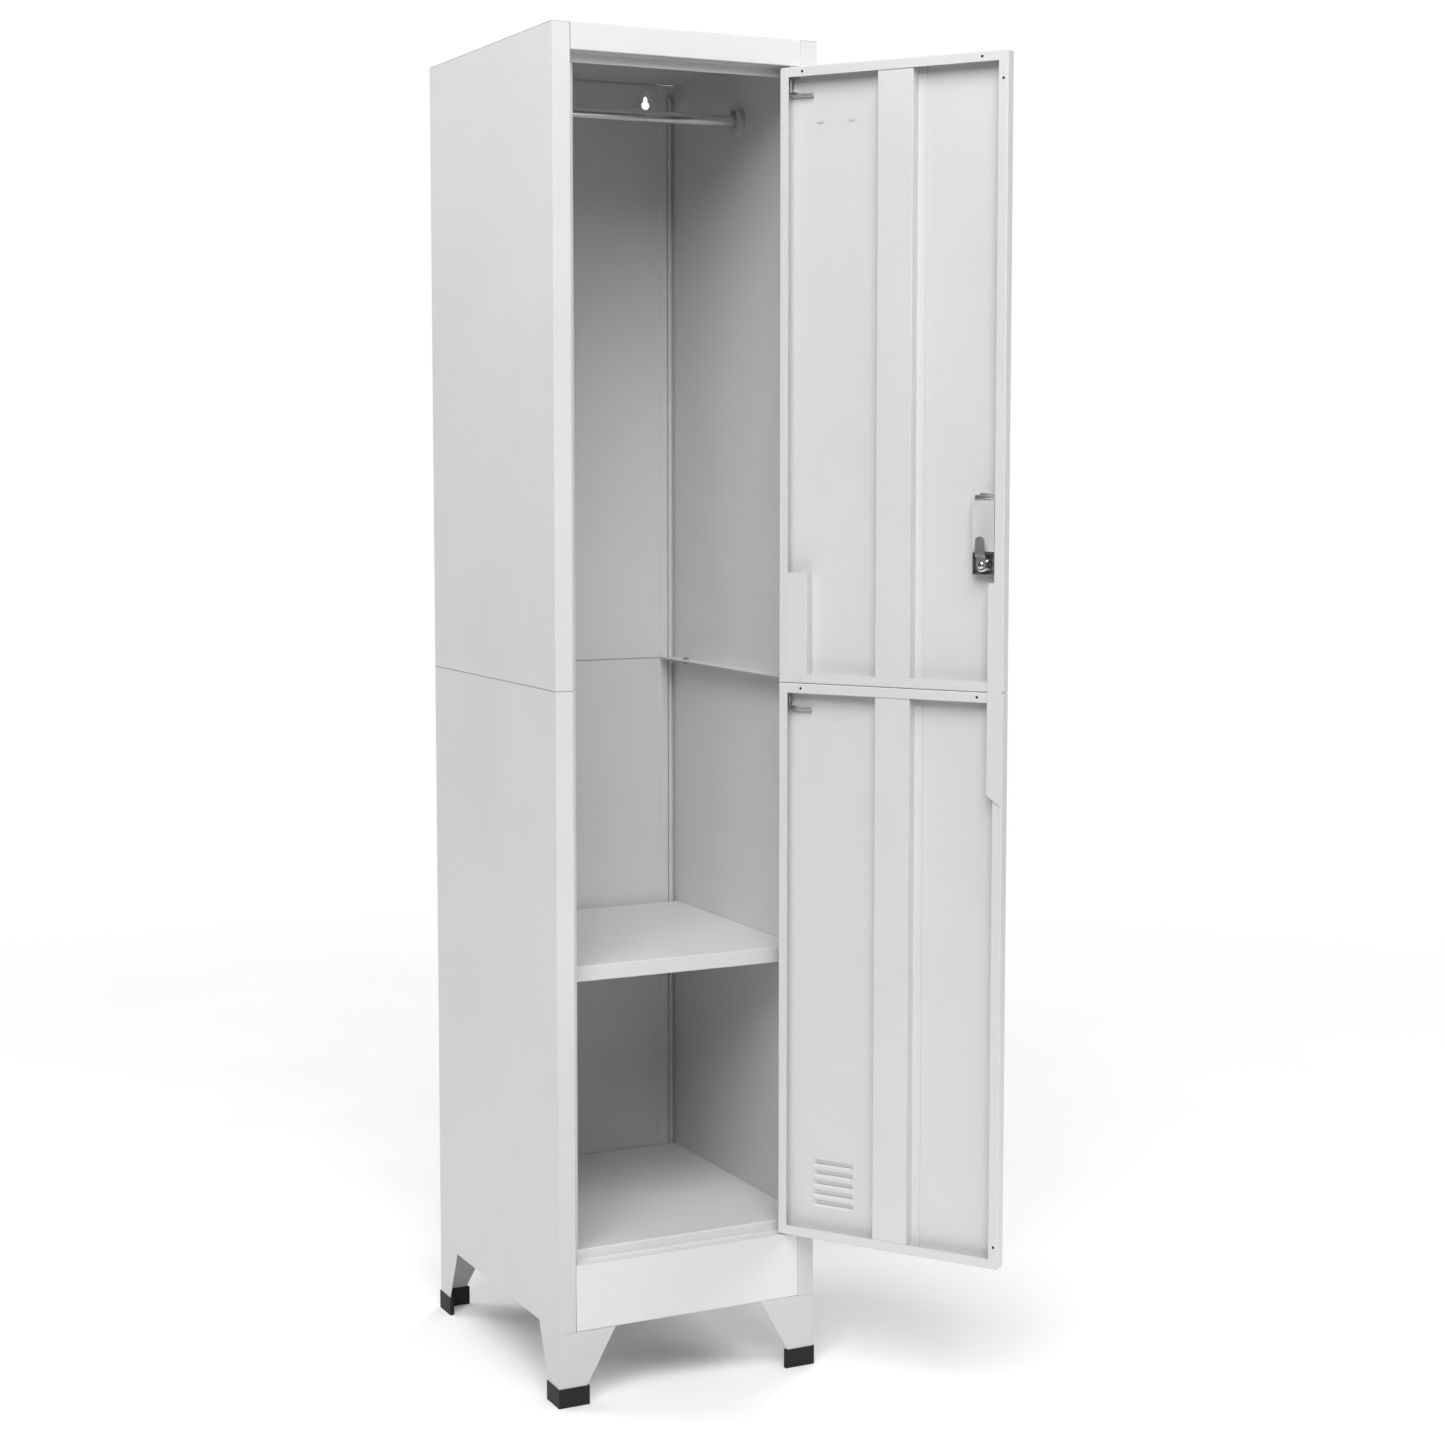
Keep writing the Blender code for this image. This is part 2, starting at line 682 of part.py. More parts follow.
def leg(corner, flip_x, flip_y, parent):
    def at(x, y, z=None):
        x = WIDTH - x if flip_x else x
        y = DEPTH - y if flip_y else y
        return (x, y) if z is None else (x, y, z)

    def corner_box(name, low, high, material=None):
        first, second = Vector(at(*low)), Vector(at(*high))
        low = [min(pair) for pair in zip(first, second)]
        high = [max(pair) for pair in zip(first, second)]
        return box(name, low, high, parent, material)

    name = f"leg_{corner}"
    half = LEG_SHEET / 2
    top = LEG_HEIGHT - GAP
    bottom = CAP_FLOOR + GAP
    path = [at(half, LEG_SIDE_TOP), at(half, half), at(LEG_FRONT_TOP, half)]
    plan = folded(path, LEG_SHEET, LEG_FOLD_RADIUS)
    made = extrusion(name, plan, "XY", (bottom, top), parent, PAINT)
    rise = (top - CAP_HEIGHT) / (LEG_HEIGHT - CAP_HEIGHT)
    tapers = (
        ("XZ", LEG_FRONT_BOTTOM, LEG_FRONT_TOP, 0, flip_y, DEPTH),
        ("YZ", LEG_SIDE_BOTTOM, LEG_SIDE_TOP, 1, flip_x, WIDTH),
    )
    for plane, narrow, wide, index, flipped, extent in tapers:
        slope = [
            (narrow, bottom - MARGIN),
            (narrow, CAP_HEIGHT),
            (narrow + (wide - narrow) * rise, top - LEG_TAPER_START),
            (wide + MARGIN, top - LEG_TAPER_START),
            (wide + MARGIN, bottom - MARGIN),
        ]
        outline = [(at(u, u)[index], z) for u, z in slope]
        span = (extent - MARGIN, extent + MARGIN) if flipped else (-MARGIN, MARGIN)
        cut(made, extrusion(f"{name}_taper_{plane}", outline, plane, span, parent))
    low = (half, half, top - LEG_SHEET)
    fuse(made, corner_box(f"{name}_tab", low, (*LEG_TAB, top)))
    start = at(BOLT_INSET, LEG_BOLT_Y, top - MARGIN)
    cut(made, rod(f"{name}_hole", start, 2 * MARGIN, BOLT_HOLE, parent))
    grip = LEG_SHEET + GAP + SHEET
    bolt(f"leg_bolt_{corner}", at(BOLT_INSET, LEG_BOLT_Y, top - LEG_SHEET + grip / 2), grip, parent)

    low = (-CAP_PROUD, -CAP_PROUD, 0)
    cap = corner_box(f"foot_cap_{corner}", low, (CAP_ARM_X, CAP_ARM_Y, CAP_HEIGHT), BLACK_PLASTIC)
    inside = CAP_THICK - CAP_PROUD
    hollow = corner_box(f"{name}_cap_corner", (inside, inside, -FAR), (FAR, FAR, FAR))
    low = (-GAP, -GAP, CAP_FLOOR)
    slot = corner_box(f"{name}_cap_slot", low, (LEG_FRONT_BOTTOM + GAP, LEG_SHEET + GAP, FAR))
    low = (-0.8 * GAP, 0, CAP_FLOOR + 0.3 * GAP)
    high = (LEG_SHEET + 0.8 * GAP, LEG_SIDE_BOTTOM + GAP, 1.1 * FAR)
    side_slot = corner_box(f"{name}_cap_side_slot", low, high)
    cut(cap, hollow, fuse(slot, side_slot))


def bolt(name, middle, grip, parent):
    """A bolt through two sheets, with its head and nut as one solid, clear of the sheets."""
    x, y, z = middle
    low = z - grip / 2 - GAP
    high = z + grip / 2 + GAP
    across, thick = BOLT_HEAD_RADIUS, BOLT_HEAD_THICK
    start = (x, y, low - thick - BOLT_SPARE)
    length = high - low + 2 * (thick + BOLT_SPARE)
    made = rod(name, start, length, BOLT_RADIUS, parent, ZINC, sides=12)
    head = rod(f"{name}_head", (x, y, low - thick), thick, across, parent, sides=6)
    nut = rod(f"{name}_nut", (x, y, high), thick, across, parent, sides=6)
    fuse(made, head, nut)


def bolts(parent):
    for side, x in (("left", BOLT_INSET), ("right", WIDTH - BOLT_INSET)):
        for place, y in zip(("front", "back"), SEAM_BOLTS_Y):
            bolt(f"seam_bolt_{side}_{place}", (x, y, SEAM_Z), 2 * SHEET + GAP, parent)


# ---------------------------------------------------------------- door


def door_box(name, s_range, y_range, z_range, door, material=None):
    """A box on the door. s is the distance from the hinge edge towards the free edge."""
    low = (PIVOT_INSET - s_range[1], y_range[0], z_range[0])
    high = (PIVOT_INSET - s_range[0], y_range[1], z_range[1])
    return box(name, low, high, door, material)


def door_rod(name, s, start, length, radius, door, material=None, axis="Y", sides=16):
    x = PIVOT_INSET - s
    return rod(name, (x, start[0], start[1]), length, radius, door, material, axis, sides)


def pan(name, bottom, top, door):
    """Half a door: a shallow pan, closed in front, with a lip round its open back."""
    span = (0, DOOR_WIDTH)
    made = door_box(name, span, (FRONT, PAN_BACK), (bottom, top), door, PAINT)
    round_edges(made, PAN_RADIUS, 3)
    inner = (SHEET, DOOR_WIDTH - SHEET)
    y_inner = (FRONT + SHEET, PAN_BACK - SHEET)
    hollow = door_box(f"{name}_hollow", inner, y_inner, (bottom + SHEET, top - SHEET), door)
    round_edges(hollow, PAN_RADIUS - SHEET, 2)
    mouth = (PAN_LIP, DOOR_WIDTH - PAN_LIP)
    y_mouth = (PAN_BACK - MARGIN / 2, PAN_BACK + MARGIN)
    z_mouth = (bottom + PAN_LIP, top - PAN_LIP)
    cut(made, hollow, door_box(f"{name}_mouth", mouth, y_mouth, z_mouth, door))
    return made


def lip_hole(name, s, z, door):
    start = (PAN_BACK - MARGIN / 2, z)
    return door_rod(name, s, start, MARGIN, SMALL_HOLE, door, sides=10)


def pin_holes(target, *heights):
    for number, z in enumerate(heights):
        name = f"{target.name}_pin_hole_{number}"
        hole = rod(name, (0, 0, z - MARGIN / 2), MARGIN, PIN_HOLE, target.parent)
        cut(target, hole)


def door_halves(door):
    upper_bottom = DOOR_SPLIT + HALF_GAP
    lower_top = DOOR_SPLIT - HALF_GAP
    upper = pan("door_upper", upper_bottom, DOOR_TOP, door)
    lower = pan("door_lower", DOOR_BOTTOM, lower_top, door)
    pin_holes(upper, DOOR_TOP, upper_bottom)
    pin_holes(lower, lower_top, DOOR_BOTTOM)
    middle = PAN_LIP / 2
    edge = DOOR_WIDTH - middle
    for number, s in enumerate(HOLE_INSETS):
        cut(upper, lip_hole(f"upper_top_hole_{number}", s, DOOR_TOP - middle, door))
        cut(upper, lip_hole(f"upper_bottom_hole_{number}", s, upper_bottom + middle, door))
        cut(lower, lip_hole(f"lower_top_hole_{number}", s, lower_top - middle, door))
    cut(upper, lip_hole("upper_edge_hole", edge, EDGE_HOLES[0], door))
    cut(lower, lip_hole("lower_edge_hole", edge, EDGE_HOLES[1], door))
    through = (FRONT - MARGIN / 2, FRONT + MARGIN / 2)
    for number, sides in enumerate(LABEL_SLOT_SIDES):
        cut(upper, door_box(f"label_slot_{number}", sides, through, LABEL_SLOT_Z, door))
    for number in range(LOUVRE_COUNT):
        z = LOUVRE_Z + number * LOUVRE_PITCH
        slot = (z - LOUVRE_HEIGHT / 2, z + LOUVRE_HEIGHT / 2)
        cut(lower, door_box(f"louvre_{number}", LOUVRE_SIDES, through, slot, door))
    sides = (CUP_SIDES[0] - GAP, CUP_SIDES[1] + GAP)
    z_range = (CASE_Z[0] - GAP, CUP_Z[1] + GAP)
    cut(upper, door_box("handle_cutout", sides, through, z_range, door))
    for number, s in enumerate(DOOR_BOLTS):
        start = (PIVOT_INSET - s, DOOR_BOLT_Y, DOOR_SPLIT - MARGIN / 2)
        cut(upper, rod(f"upper_joint_hole_{number}", start, MARGIN, BOLT_HOLE, door))
        cut(lower, rod(f"lower_joint_hole_{number}", start, MARGIN, BOLT_HOLE, door))
        name = ("door_bolt_hinge_side", "door_bolt_free_side")[number]
        place = (PIVOT_INSET - s, DOOR_BOLT_Y, DOOR_SPLIT)
        bolt(name, place, 2 * SHEET + 2 * HALF_GAP, door)


def stiffeners(door):
    """A hat section down the middle of each half, as deep as the pan."""
    half = SHEET / 2
    skin = FRONT + SHEET + GAP + half
    face = PAN_BACK - SHEET - GAP - half
    first, last = STIFFENER_FACE
    path = [
        (first - STIFFENER_FLANGE, skin),
        (first, skin),
        (first + STIFFENER_SLOPE, face),
        (last - STIFFENER_SLOPE, face),
        (last, skin),
        (last + STIFFENER_FLANGE, skin),
    ]
    outline = folded([(PIVOT_INSET - s, y) for s, y in path])
    ends = (("upper", DOOR_SPLIT + HALF_GAP, DOOR_TOP), ("lower", DOOR_BOTTOM, DOOR_SPLIT - HALF_GAP))
    for half_name, bottom, top in ends:
        inset = SHEET + GAP + STIFFENER_SLOPE
        span = (bottom + inset, top - inset)
        extrusion(f"stiffener_{half_name}", outline, "XY", span, door, PAINT)


def joint_plates(door):
    """The channel on the hinge side and the plate on the free edge that tie the halves together."""
    half = SHEET / 2
    skin = FRONT + SHEET + GAP + half
    face = PAN_BACK - SHEET - GAP - half
    path = [
        (CHANNEL_INSET, face),
        (CHANNEL_WIDTH, face),
        (CHANNEL_WIDTH, skin),
        (CHANNEL_WIDTH - CHANNEL_FLANGE, skin),
    ]
    outline = folded([(PIVOT_INSET - s, y) for s, y in path])
    extrusion("hinge_channel", outline, "XY", CHANNEL_Z, door, PAINT)

    free = PIVOT_INSET - DOOR_WIDTH + SPLICE_INSET
    inner_edge = PIVOT_INSET - DOOR_WIDTH + SPLICE_WIDTH
    low, high = SPLICE_Z
    plate = [
        (free, low),
        (inner_edge, low + SPLICE_SLANT),
        (inner_edge, high - SPLICE_CORNER),
        (inner_edge - SPLICE_CORNER, high),
        (free, high),
    ]
    span = (PAN_BACK + GAP, PAN_BACK + GAP + SPLICE_THICK)
    extrusion("splice_plate", plate, "XZ", span, door, PAINT)


# ---------------------------------------------------------------- hinge pins


def hinge_pin(half, top, door):
    """A sprung pin through the top of a half door, drawn down by the arm bent out of its foot."""
    ear_low = top - PIN_EARS[0]
    ear_high = top - PIN_EARS[1]
    axis = pivot(f"{half}_pin_axis", (0, 0, top), door)

    arm_z = ear_low - PIN_DROP - top
    name = f"hinge_pin_{half}"
    curve = bpy.data.curves.new(name, "CURVE")
    curve.dimensions = "3D"
    curve.bevel_depth = PIN_RADIUS
    curve.bevel_resolution = 2
    curve.use_fill_caps = True
    turn = [
        (PIN_BEND * (math.cos(a) - 1), 0, arm_z + PIN_BEND * (1 - math.sin(a)))
        for a in (math.radians(d) for d in (0, 30, 60, 90))
    ]
    points = [(0, 0, PIN_RISE), *turn, (-PIN_ARM, 0, arm_z)]
    spline = curve.splines.new("POLY")
    spline.points.add(len(points) - 1)
    for target, point in zip(spline.points, points):
        target.co = (*point, 1)
    made = as_mesh(add(name, curve, (0, 0, 0), axis))
    made.data.materials.append(ZINC)
    collar_z = ear_high - top - GAP - PIN_COLLAR_THICK
    start = (0, 0, collar_z)
    collar = rod(f"{name}_collar", start, PIN_COLLAR_THICK, PIN_COLLAR_RADIUS, axis)
    fuse(made, collar)

    half_strap = BRACKET_THICK / 2
    wall = PIVOT_INSET - SHEET - GAP - half_strap
    low, high = ear_low - half_strap, ear_high + half_strap
    path = [(wall - BRACKET_REACH, low), (wall, low), (wall, high), (wall - BRACKET_REACH, high)]
    span = (FRONT + SHEET + GAP, BRACKET_BACK)
    strap = folded(path, thickness=BRACKET_THICK)
    bracket = extrusion(f"pin_bracket_{half}", strap, "XZ", span, door, ZINC)
    for number, z in enumerate((low, high)):
        start = (0, 0, z - MARGIN / 4)
        hole = rod(f"{bracket.name}_hole_{number}", start, MARGIN / 2, PIN_HOLE, door)
        cut(bracket, hole)

    first = low + half_strap + SPRING_WIRE + GAP
    last = top + collar_z - SPRING_WIRE - GAP
    coil(f"pin_spring_{half}", first, last, door)


def coil(name, bottom, top, door):
    curve = bpy.data.curves.new(name, "CURVE")
    curve.dimensions = "3D"
    curve.bevel_depth = SPRING_WIRE
    curve.bevel_resolution = 1
    curve.use_fill_caps = True
    count = SPRING_TURNS * SPRING_STEPS
    spline = curve.splines.new("POLY")
    spline.points.add(count)
    for i, point in enumerate(spline.points):
        angle = 2 * math.pi * i / SPRING_STEPS
        height = bottom + (top - bottom) * i / count
        point.co = (SPRING_RADIUS * math.cos(angle), SPRING_RADIUS * math.sin(angle), height, 1)
    made = as_mesh(add(name, curve, (0, 0, 0), door))
    made.data.materials.append(SPRING_STEEL)


def bottom_pin(door, cabinet):
    """The fixed pin that stands the door on the ledge, and the washer under it."""
    inside = DOOR_BOTTOM + SHEET + GAP
    profile = [
        (0, inside + PIN_HEAD_THICK),
        (PIN_HEAD_RADIUS, inside + PIN_HEAD_THICK),
        (PIN_HEAD_RADIUS, inside),
        (PIN_RADIUS, inside),
        (PIN_RADIUS, LEDGE_Z - PIN_TAIL),
        (PIN_TIP_RADIUS, LEDGE_Z - PIN_TAIL - 2 * SHEET),
        (0, LEDGE_Z - PIN_TAIL - 2 * SHEET),
    ]
    turned("hinge_pin_bottom", profile, 14, (0, 0, 0), door, ZINC)
    low = LEDGE_Z + SHEET / 2 + GAP
    high = DOOR_BOTTOM - GAP
    start = PIVOT + Vector((0, 0, low))
    washer = rod("hinge_washer", start, high - low, WASHER_RADIUS, cabinet, WHITE_PLASTIC)
    start = PIVOT + Vector((0, 0, low - MARGIN / 2))
    cut(washer, rod("washer_bore", start, 2 * MARGIN, PIN_HOLE, cabinet))


# ---------------------------------------------------------------- handle, lock and label


def handle_cup(door):
    """The recessed pull, one piece with the bezel that also frames the lock."""
    sides = (CUP_SIDES[0] - BEZEL, CUP_SIDES[1] + BEZEL)
    z_range = (CASE_Z[0] - BEZEL, CUP_Z[1] + BEZEL)
    y_range = (FRONT - GAP - BEZEL_THICK, FRONT - GAP)
    cup = door_box("handle_cup", sides, y_range, z_range, door, CUP_PLASTIC)
    body = door_box("cup_body", CUP_SIDES, (FRONT - GAP - BEZEL_THICK / 2, CUP_BACK), CUP_Z, door)
    inner = (CUP_SIDES[0] + CUP_WALL, CUP_SIDES[1] - CUP_WALL)
    z_inner = (CUP_Z[0] + CUP_WALL, CUP_Z[1] - CUP_WALL)
    hollow = door_box("cup_hollow", inner, (FRONT - MARGIN, CUP_BACK - CUP_WALL), z_inner, door)
    start = (FRONT - MARGIN, LOCK_Z)
    seat = door_rod("lock_seat", LOCK_INSET, start, 2 * MARGIN, BARREL_RADIUS + GAP, door, sides=24)
    cut(fuse(cup, body), hollow, seat)


def lock(door):
    """A cam lock: its case, barrel and nut stay still, and its plug turns the cam and screw."""
    x = PIVOT_INSET - LOCK_INSET
    wall = CASE_WALL
    case_y = (FRONT + GAP, CUP_BACK - wall)
    case = door_box("lock_case", CUP_SIDES, case_y, CASE_Z, door, DARK_STEEL)
    inner = (CUP_SIDES[0] + wall, CUP_SIDES[1] - wall)
    z_inner = (CASE_Z[0] + wall, CASE_Z[1] - wall)
    hollow = door_box("case_hollow", inner, (case_y[0] + wall, FAR), z_inner, door)
    start = (FRONT - MARGIN, LOCK_Z)
    bore = door_rod("case_bore", LOCK_INSET, start, 2 * MARGIN, BARREL_RADIUS + GAP, door, sides=24)
    cut(case, hollow, bore)

    head = FRONT - GAP - BEZEL_THICK - GAP
    head_face = head - BARREL_HEAD_THICK - BARREL_CHAMFER[1]
    profile = [
        (BARREL_BORE, BARREL_END),
        (BARREL_RADIUS, BARREL_END),
        (BARREL_RADIUS, head),
        (BARREL_HEAD, head),
        (BARREL_HEAD, head - BARREL_HEAD_THICK),
        (BARREL_CHAMFER[0], head_face),
        (BARREL_BORE, head_face),
        (BARREL_BORE, BARREL_END),
    ]
    place = (x, 0, LOCK_Z)
    turned("lock_barrel", profile, 24, place, door, CHROME, axis="Y")

    nut_y = case_y[0] + wall + GAP
    start = (nut_y, LOCK_Z)
    nut = door_rod("lock_nut", LOCK_INSET, start, NUT_THICK, NUT_RADIUS, door, ZINC, sides=6)
    start = (nut_y - MARGIN / 2, LOCK_Z)
    bore = door_rod("nut_bore", LOCK_INSET, start, 2 * MARGIN, BARREL_RADIUS + GAP, door, sides=24)
    cut(nut, bore)

    rotor = pivot("lock_rotor", place, door)
    face = head - PLUG_SINK
    square = DRIVE_HALF
    plug_end = BARREL_END + GAP
    plug_profile = [(0, plug_end), (PLUG_RADIUS, plug_end), (PLUG_RADIUS, face), (0, face)]
    plug = turned("lock_plug", plug_profile, 24, (0, 0, 0), rotor, CHROME, axis="Y")
    drive_low = (-square, BARREL_END - SHEET, -square)
    drive = box("plug_drive", drive_low, (square, CAM_Y[1] - GAP, square), rotor)
    slot_low = (-KEY_SLOT[0] / 2, face - KEY_SLOT[2], -KEY_SLOT[1] / 2)
    slot_high = (KEY_SLOT[0] / 2, face + KEY_SLOT[2], KEY_SLOT[1] / 2)
    key_slot = box("key_slot", slot_low, slot_high, rotor)
    start = (0, CAM_Y[1] - SCREW_LENGTH - GAP, 0)
    screw_bore = rod("plug_bore", start, 2 * MARGIN, SCREW_BORE, rotor, axis="Y", sides=10)
    cut(fuse(plug, drive), key_slot, screw_bore)

    radius = CAM_WIDTH / 2
    hub = radius + CAM_HUB
    middle = sum(CAM_Y) / 2
    path = [
        (middle, -hub),
        (middle, CAM_CRANK_Z[0]),
        (middle + CAM_CRANK, CAM_CRANK_Z[1]),
        (middle + CAM_CRANK, CAM_REACH),
    ]
    strip = folded(path, CAM_Y[1] - CAM_Y[0], FOLD_RADIUS)
    cam = extrusion("lock_cam", strip, "YZ", (-hub, hub), rotor, DARK_STEEL)
    outline = arc((0, CAM_REACH - radius), radius, 0, 180, 10) + arc((0, 0), hub, 180, 360, 10)
    blank = extrusion("cam_outline", outline, "XZ", (CAM_Y[0] - MARGIN, CAM_Y[1] + MARGIN), rotor)
    cut(cam, blank, operation="INTERSECT")
    hole = square + GAP
    low = (-hole, CAM_Y[0] - MARGIN, -hole)
    cut(cam, box("cam_hole", low, (hole, CAM_Y[1] + MARGIN, hole), rotor))

    head_y = CAM_Y[1] + GAP
    screw_profile = [
        (0, head_y + SCREW_HEAD[0][1]),
        (SCREW_HEAD[0][0], head_y + SCREW_HEAD[0][1]),
        (SCREW_HEAD[1][0], head_y + SCREW_HEAD[1][1]),
        (SCREW_HEAD[1][0], head_y),
        (SCREW_RADIUS, head_y),
        (SCREW_RADIUS, head_y - SCREW_LENGTH),
        (0, head_y - SCREW_LENGTH),
    ]
    turned("cam_screw", screw_profile, 16, (0, 0, 0), rotor, CHROME, axis="Y")


def label_holder(door):
    """A frame for a name card on the front, hooked through two slots."""
    y_range = (FRONT - GAP - LABEL_THICK, FRONT - GAP)
    frame = door_box("label_holder", LABEL_SIDES, y_range, LABEL_Z, door, CUP_PLASTIC)
    window = (LABEL_SIDES[0] + LABEL_RIM, LABEL_SIDES[1] - LABEL_RIM)
    z_window = (LABEL_Z[0] + LABEL_FOOT, LABEL_Z[1] - LABEL_RIM)
    y_window = (FRONT - MARGIN, FRONT + MARGIN)
    cut(frame, door_box("label_window", window, y_window, z_window, door))
    for number, sides in enumerate(LABEL_SLOT_SIDES):
        hook_s = (sides[0] + GAP, sides[1] - GAP)
        hook_z = (LABEL_SLOT_Z[0] + GAP, LABEL_SLOT_Z[1] - GAP)
        hook_y = (FRONT - GAP - LABEL_HOOK[0], FRONT + SHEET + LABEL_HOOK[1])
        fuse(frame, door_box(f"label_hook_{number}", hook_s, hook_y, hook_z, door))


# ---------------------------------------------------------------- the assembly


def footprint_centre():
    """The middle of the assembly's plan, with the door as it stands."""
    bpy.context.view_layer.update()
    graph = bpy.context.evaluated_depsgraph_get()
    corners = []
    for piece in PARTS.objects:
        if piece.type != "MESH":
            continue
        mesh = piece.evaluated_get(graph).to_mesh()
        points = np.array([piece.matrix_world @ vertex.co for vertex in mesh.vertices])
        corners += [points.min(axis=0), points.max(axis=0)]
    low, high = np.min(corners, axis=0), np.max(corners, axis=0)
    return (low + high) / 2


def build():
    cabinet = pivot("cabinet", (0, 0, 0))
    side_panels(cabinet)
    back_panels(cabinet)
    top_panel(cabinet)
    bottom_panel(cabinet)
    shelf(cabinet)
    hanging_rail(cabinet)
    legs(cabinet)
    bolts(cabinet)

    door = pivot("door", PIVOT, cabinet, OPEN_ANGLE)
    door_halves(door)
    stiffeners(door)
    joint_plates(door)
    hinge_pin("upper", DOOR_TOP, door)
    hinge_pin("lower", DOOR_SPLIT - HALF_GAP, door)
    bottom_pin(door, cabinet)
    handle_cup(door)
    lock(door)
    label_holder(door)

    middle = footprint_centre()
    cabinet.location = (-middle[0], -middle[1], 0)


build()
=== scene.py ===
import json
import math

import bmesh
import bpy
from mathutils import Matrix, Vector


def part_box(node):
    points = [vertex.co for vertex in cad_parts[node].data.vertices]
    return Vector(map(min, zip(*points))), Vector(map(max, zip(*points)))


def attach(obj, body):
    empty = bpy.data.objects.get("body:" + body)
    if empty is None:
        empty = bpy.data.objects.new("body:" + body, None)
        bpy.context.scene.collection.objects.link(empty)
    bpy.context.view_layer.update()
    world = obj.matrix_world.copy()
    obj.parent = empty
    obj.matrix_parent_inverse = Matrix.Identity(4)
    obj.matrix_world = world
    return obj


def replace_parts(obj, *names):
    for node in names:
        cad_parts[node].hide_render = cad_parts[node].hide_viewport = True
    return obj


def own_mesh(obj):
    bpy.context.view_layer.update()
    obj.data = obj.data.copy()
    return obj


# The locker cabinet's looks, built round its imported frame. Metres, +Z up, the frame's own coordinates.

# Camera
CAMERA_PLACE = (-1.5196, -3.1010, 1.2549)
CAMERA_YAW = 0.4621
CAMERA_PITCH = 0.0850
CAMERA_LENS = 63.25
CAMERA_SENSOR = 36.0
CAMERA_SHIFT = -0.036

# Studio: the floor fades out between two shares of its radius. A light has an azimuth and an elevation in
# degrees, a size and a power, and all of them stand at one distance from the place they aim at.
AMBIENT = 0.105
FLOOR_RADIUS = 7.0
FLOOR_TONE = (0.96, 0.96, 0.96)
FLOOR_FADE = (0.05, 0.55)
LIGHT_AIM = 1.1
LIGHT_DISTANCE = 4.7
LIGHTS = {
    "key": (-32, 42, 3.4, 225),
    "upper": (5, 52, 1.8, 30),
    "left_side": (-130, 22, 2.6, 97),
    "right_low": (60, 12, 1.8, 74),
    "back_left": (-165, 40, 2.6, 30),
    "back_right": (130, 30, 2.6, 84),
}

# Finish: the tones are shares of the paint's own. The joint, foot and level tones are painted shade, the joint's
# with dirt
PAINT = (0.716, 0.716, 0.718)
JOINT_Z = 0.950
JOINT_HALF = 0.0011
JOINT_TONE = 0.45
FOOT_SPAN = (0.02, 0.60)
FOOT_TONE = 0.78
LEVEL_SPAN = (0.7, 0.95)
LEVEL_TONE = 0.79
COAT_ROUGHNESS = (0.36, 0.46)
LID_ROUGHNESS = (0.66, 0.76)

# Meshes
SMOOTH_ANGLE = math.radians(32)
ROUNDED_ANGLE = math.radians(40)
ROUNDED_SEGMENTS = 3
WELD_DISTANCE = 1e-6

# The width of the rounded edges of the frame's nodes, by the start of their names
ROUNDED = {
    "foot_cap_": 0.0011,
    "rail_socket_": 0.0008,
    "handle_cup": 0.0004,
    "label_holder": 0.0004,
    "lock_cam": 0.0003,
    "hinge_washer": 0.0003,
    "shelf_clip_": 0.0002,
}

# Door, measured from its hinge edge (s), from the hinge axis to the back (y), and up from the floor (z)
OPEN_ANGLE = math.radians(124)
PIVOT_INSET = 0.0095
SKIN_Y = -0.0046
LIP_Y = 0.013

# Louvres: each profile is (depth, height), in shares of the louvre's depth and of half its height
LOUVRE_HOOD = (
    (-0.10, 1.0),
    (0.02, 0.93),
    (0.20, 0.78),
    (0.52, 0.50),
    (0.80, 0.16),
    (0.96, -0.18),
    (1.0, -0.46),
)
LOUVRE_LIP = (
    (0.62, -0.38),
    (0.50, -0.48),
    (0.30, -0.66),
    (0.10, -0.86),
    (0.0, -0.95),
    (-0.10, -1.0),
)
LOUVRE_SIDES = (0.045, 0.106)
LOUVRE_Z = 0.236
LOUVRE_PITCH = 0.014
LOUVRE_COUNT = 5
LOUVRE_HALF = 0.0054
LOUVRE_DEPTH = 0.0042
LOUVRE_END = 0.008
LOUVRE_SHEET = 0.0006
LOUVRE_STEPS = 36

# Buffers in the door lip: s and z of each, and their profile as (share of the radius, height)
BUFFERS = (
    (0.033, 1.756),
    (0.290, 1.756),
    (0.033, 0.9422),
    (0.290, 0.9422),
    (0.3195, 1.727),
    (0.3195, 0.220),
)
BUFFER_RADIUS = 0.0018
BUFFER_PROFILE = (
    (0.02, 0.0006),
    (0.45, 0.0005),
    (0.8, 0.0002),
    (1.0, -0.0002),
    (1.0, -0.0012),
    (0.6, -0.0022),
)
BUFFER_SIDES = 20

# Lock. The head's edge is (rise, inset), and the screw's dome is (share of the radius, share of the height).
# The cross recess is (share of the head's height, half length of its arms, half width of its arms).
# The thread fades out over one part in THREAD_RUNOUT at each end.
LOCK_S = 0.296
LOCK_Z = 1.113
BARREL_RADIUS = 0.0085
BARREL_BORE = 0.0060
BARREL_SPAN = (-0.0083, 0.0157)
BARREL_HEAD = 0.0102
BARREL_FLAT = 0.0076
BARREL_CHAMFER = 0.0003
BARREL_SIDES = 64
HEAD_EDGE = ((0.0, 0.0014), (0.0002, 0.0006), (0.0007, 0.0001), (0.0012, 0.0), (0.0015, 0.0))
THREAD_SPAN = (-0.0035, 0.0150)
THREAD_PITCH = 0.0011
THREAD_DEPTH = 0.0005
THREAD_STEPS = 110
THREAD_RUNOUT = 8
NUT_SPAN = (-0.0032, 0.0003)
NUT_FLAT = 0.0097
NUT_BORE = 0.0086
NUT_FACE = 1.01
NUT_SIDES = 72
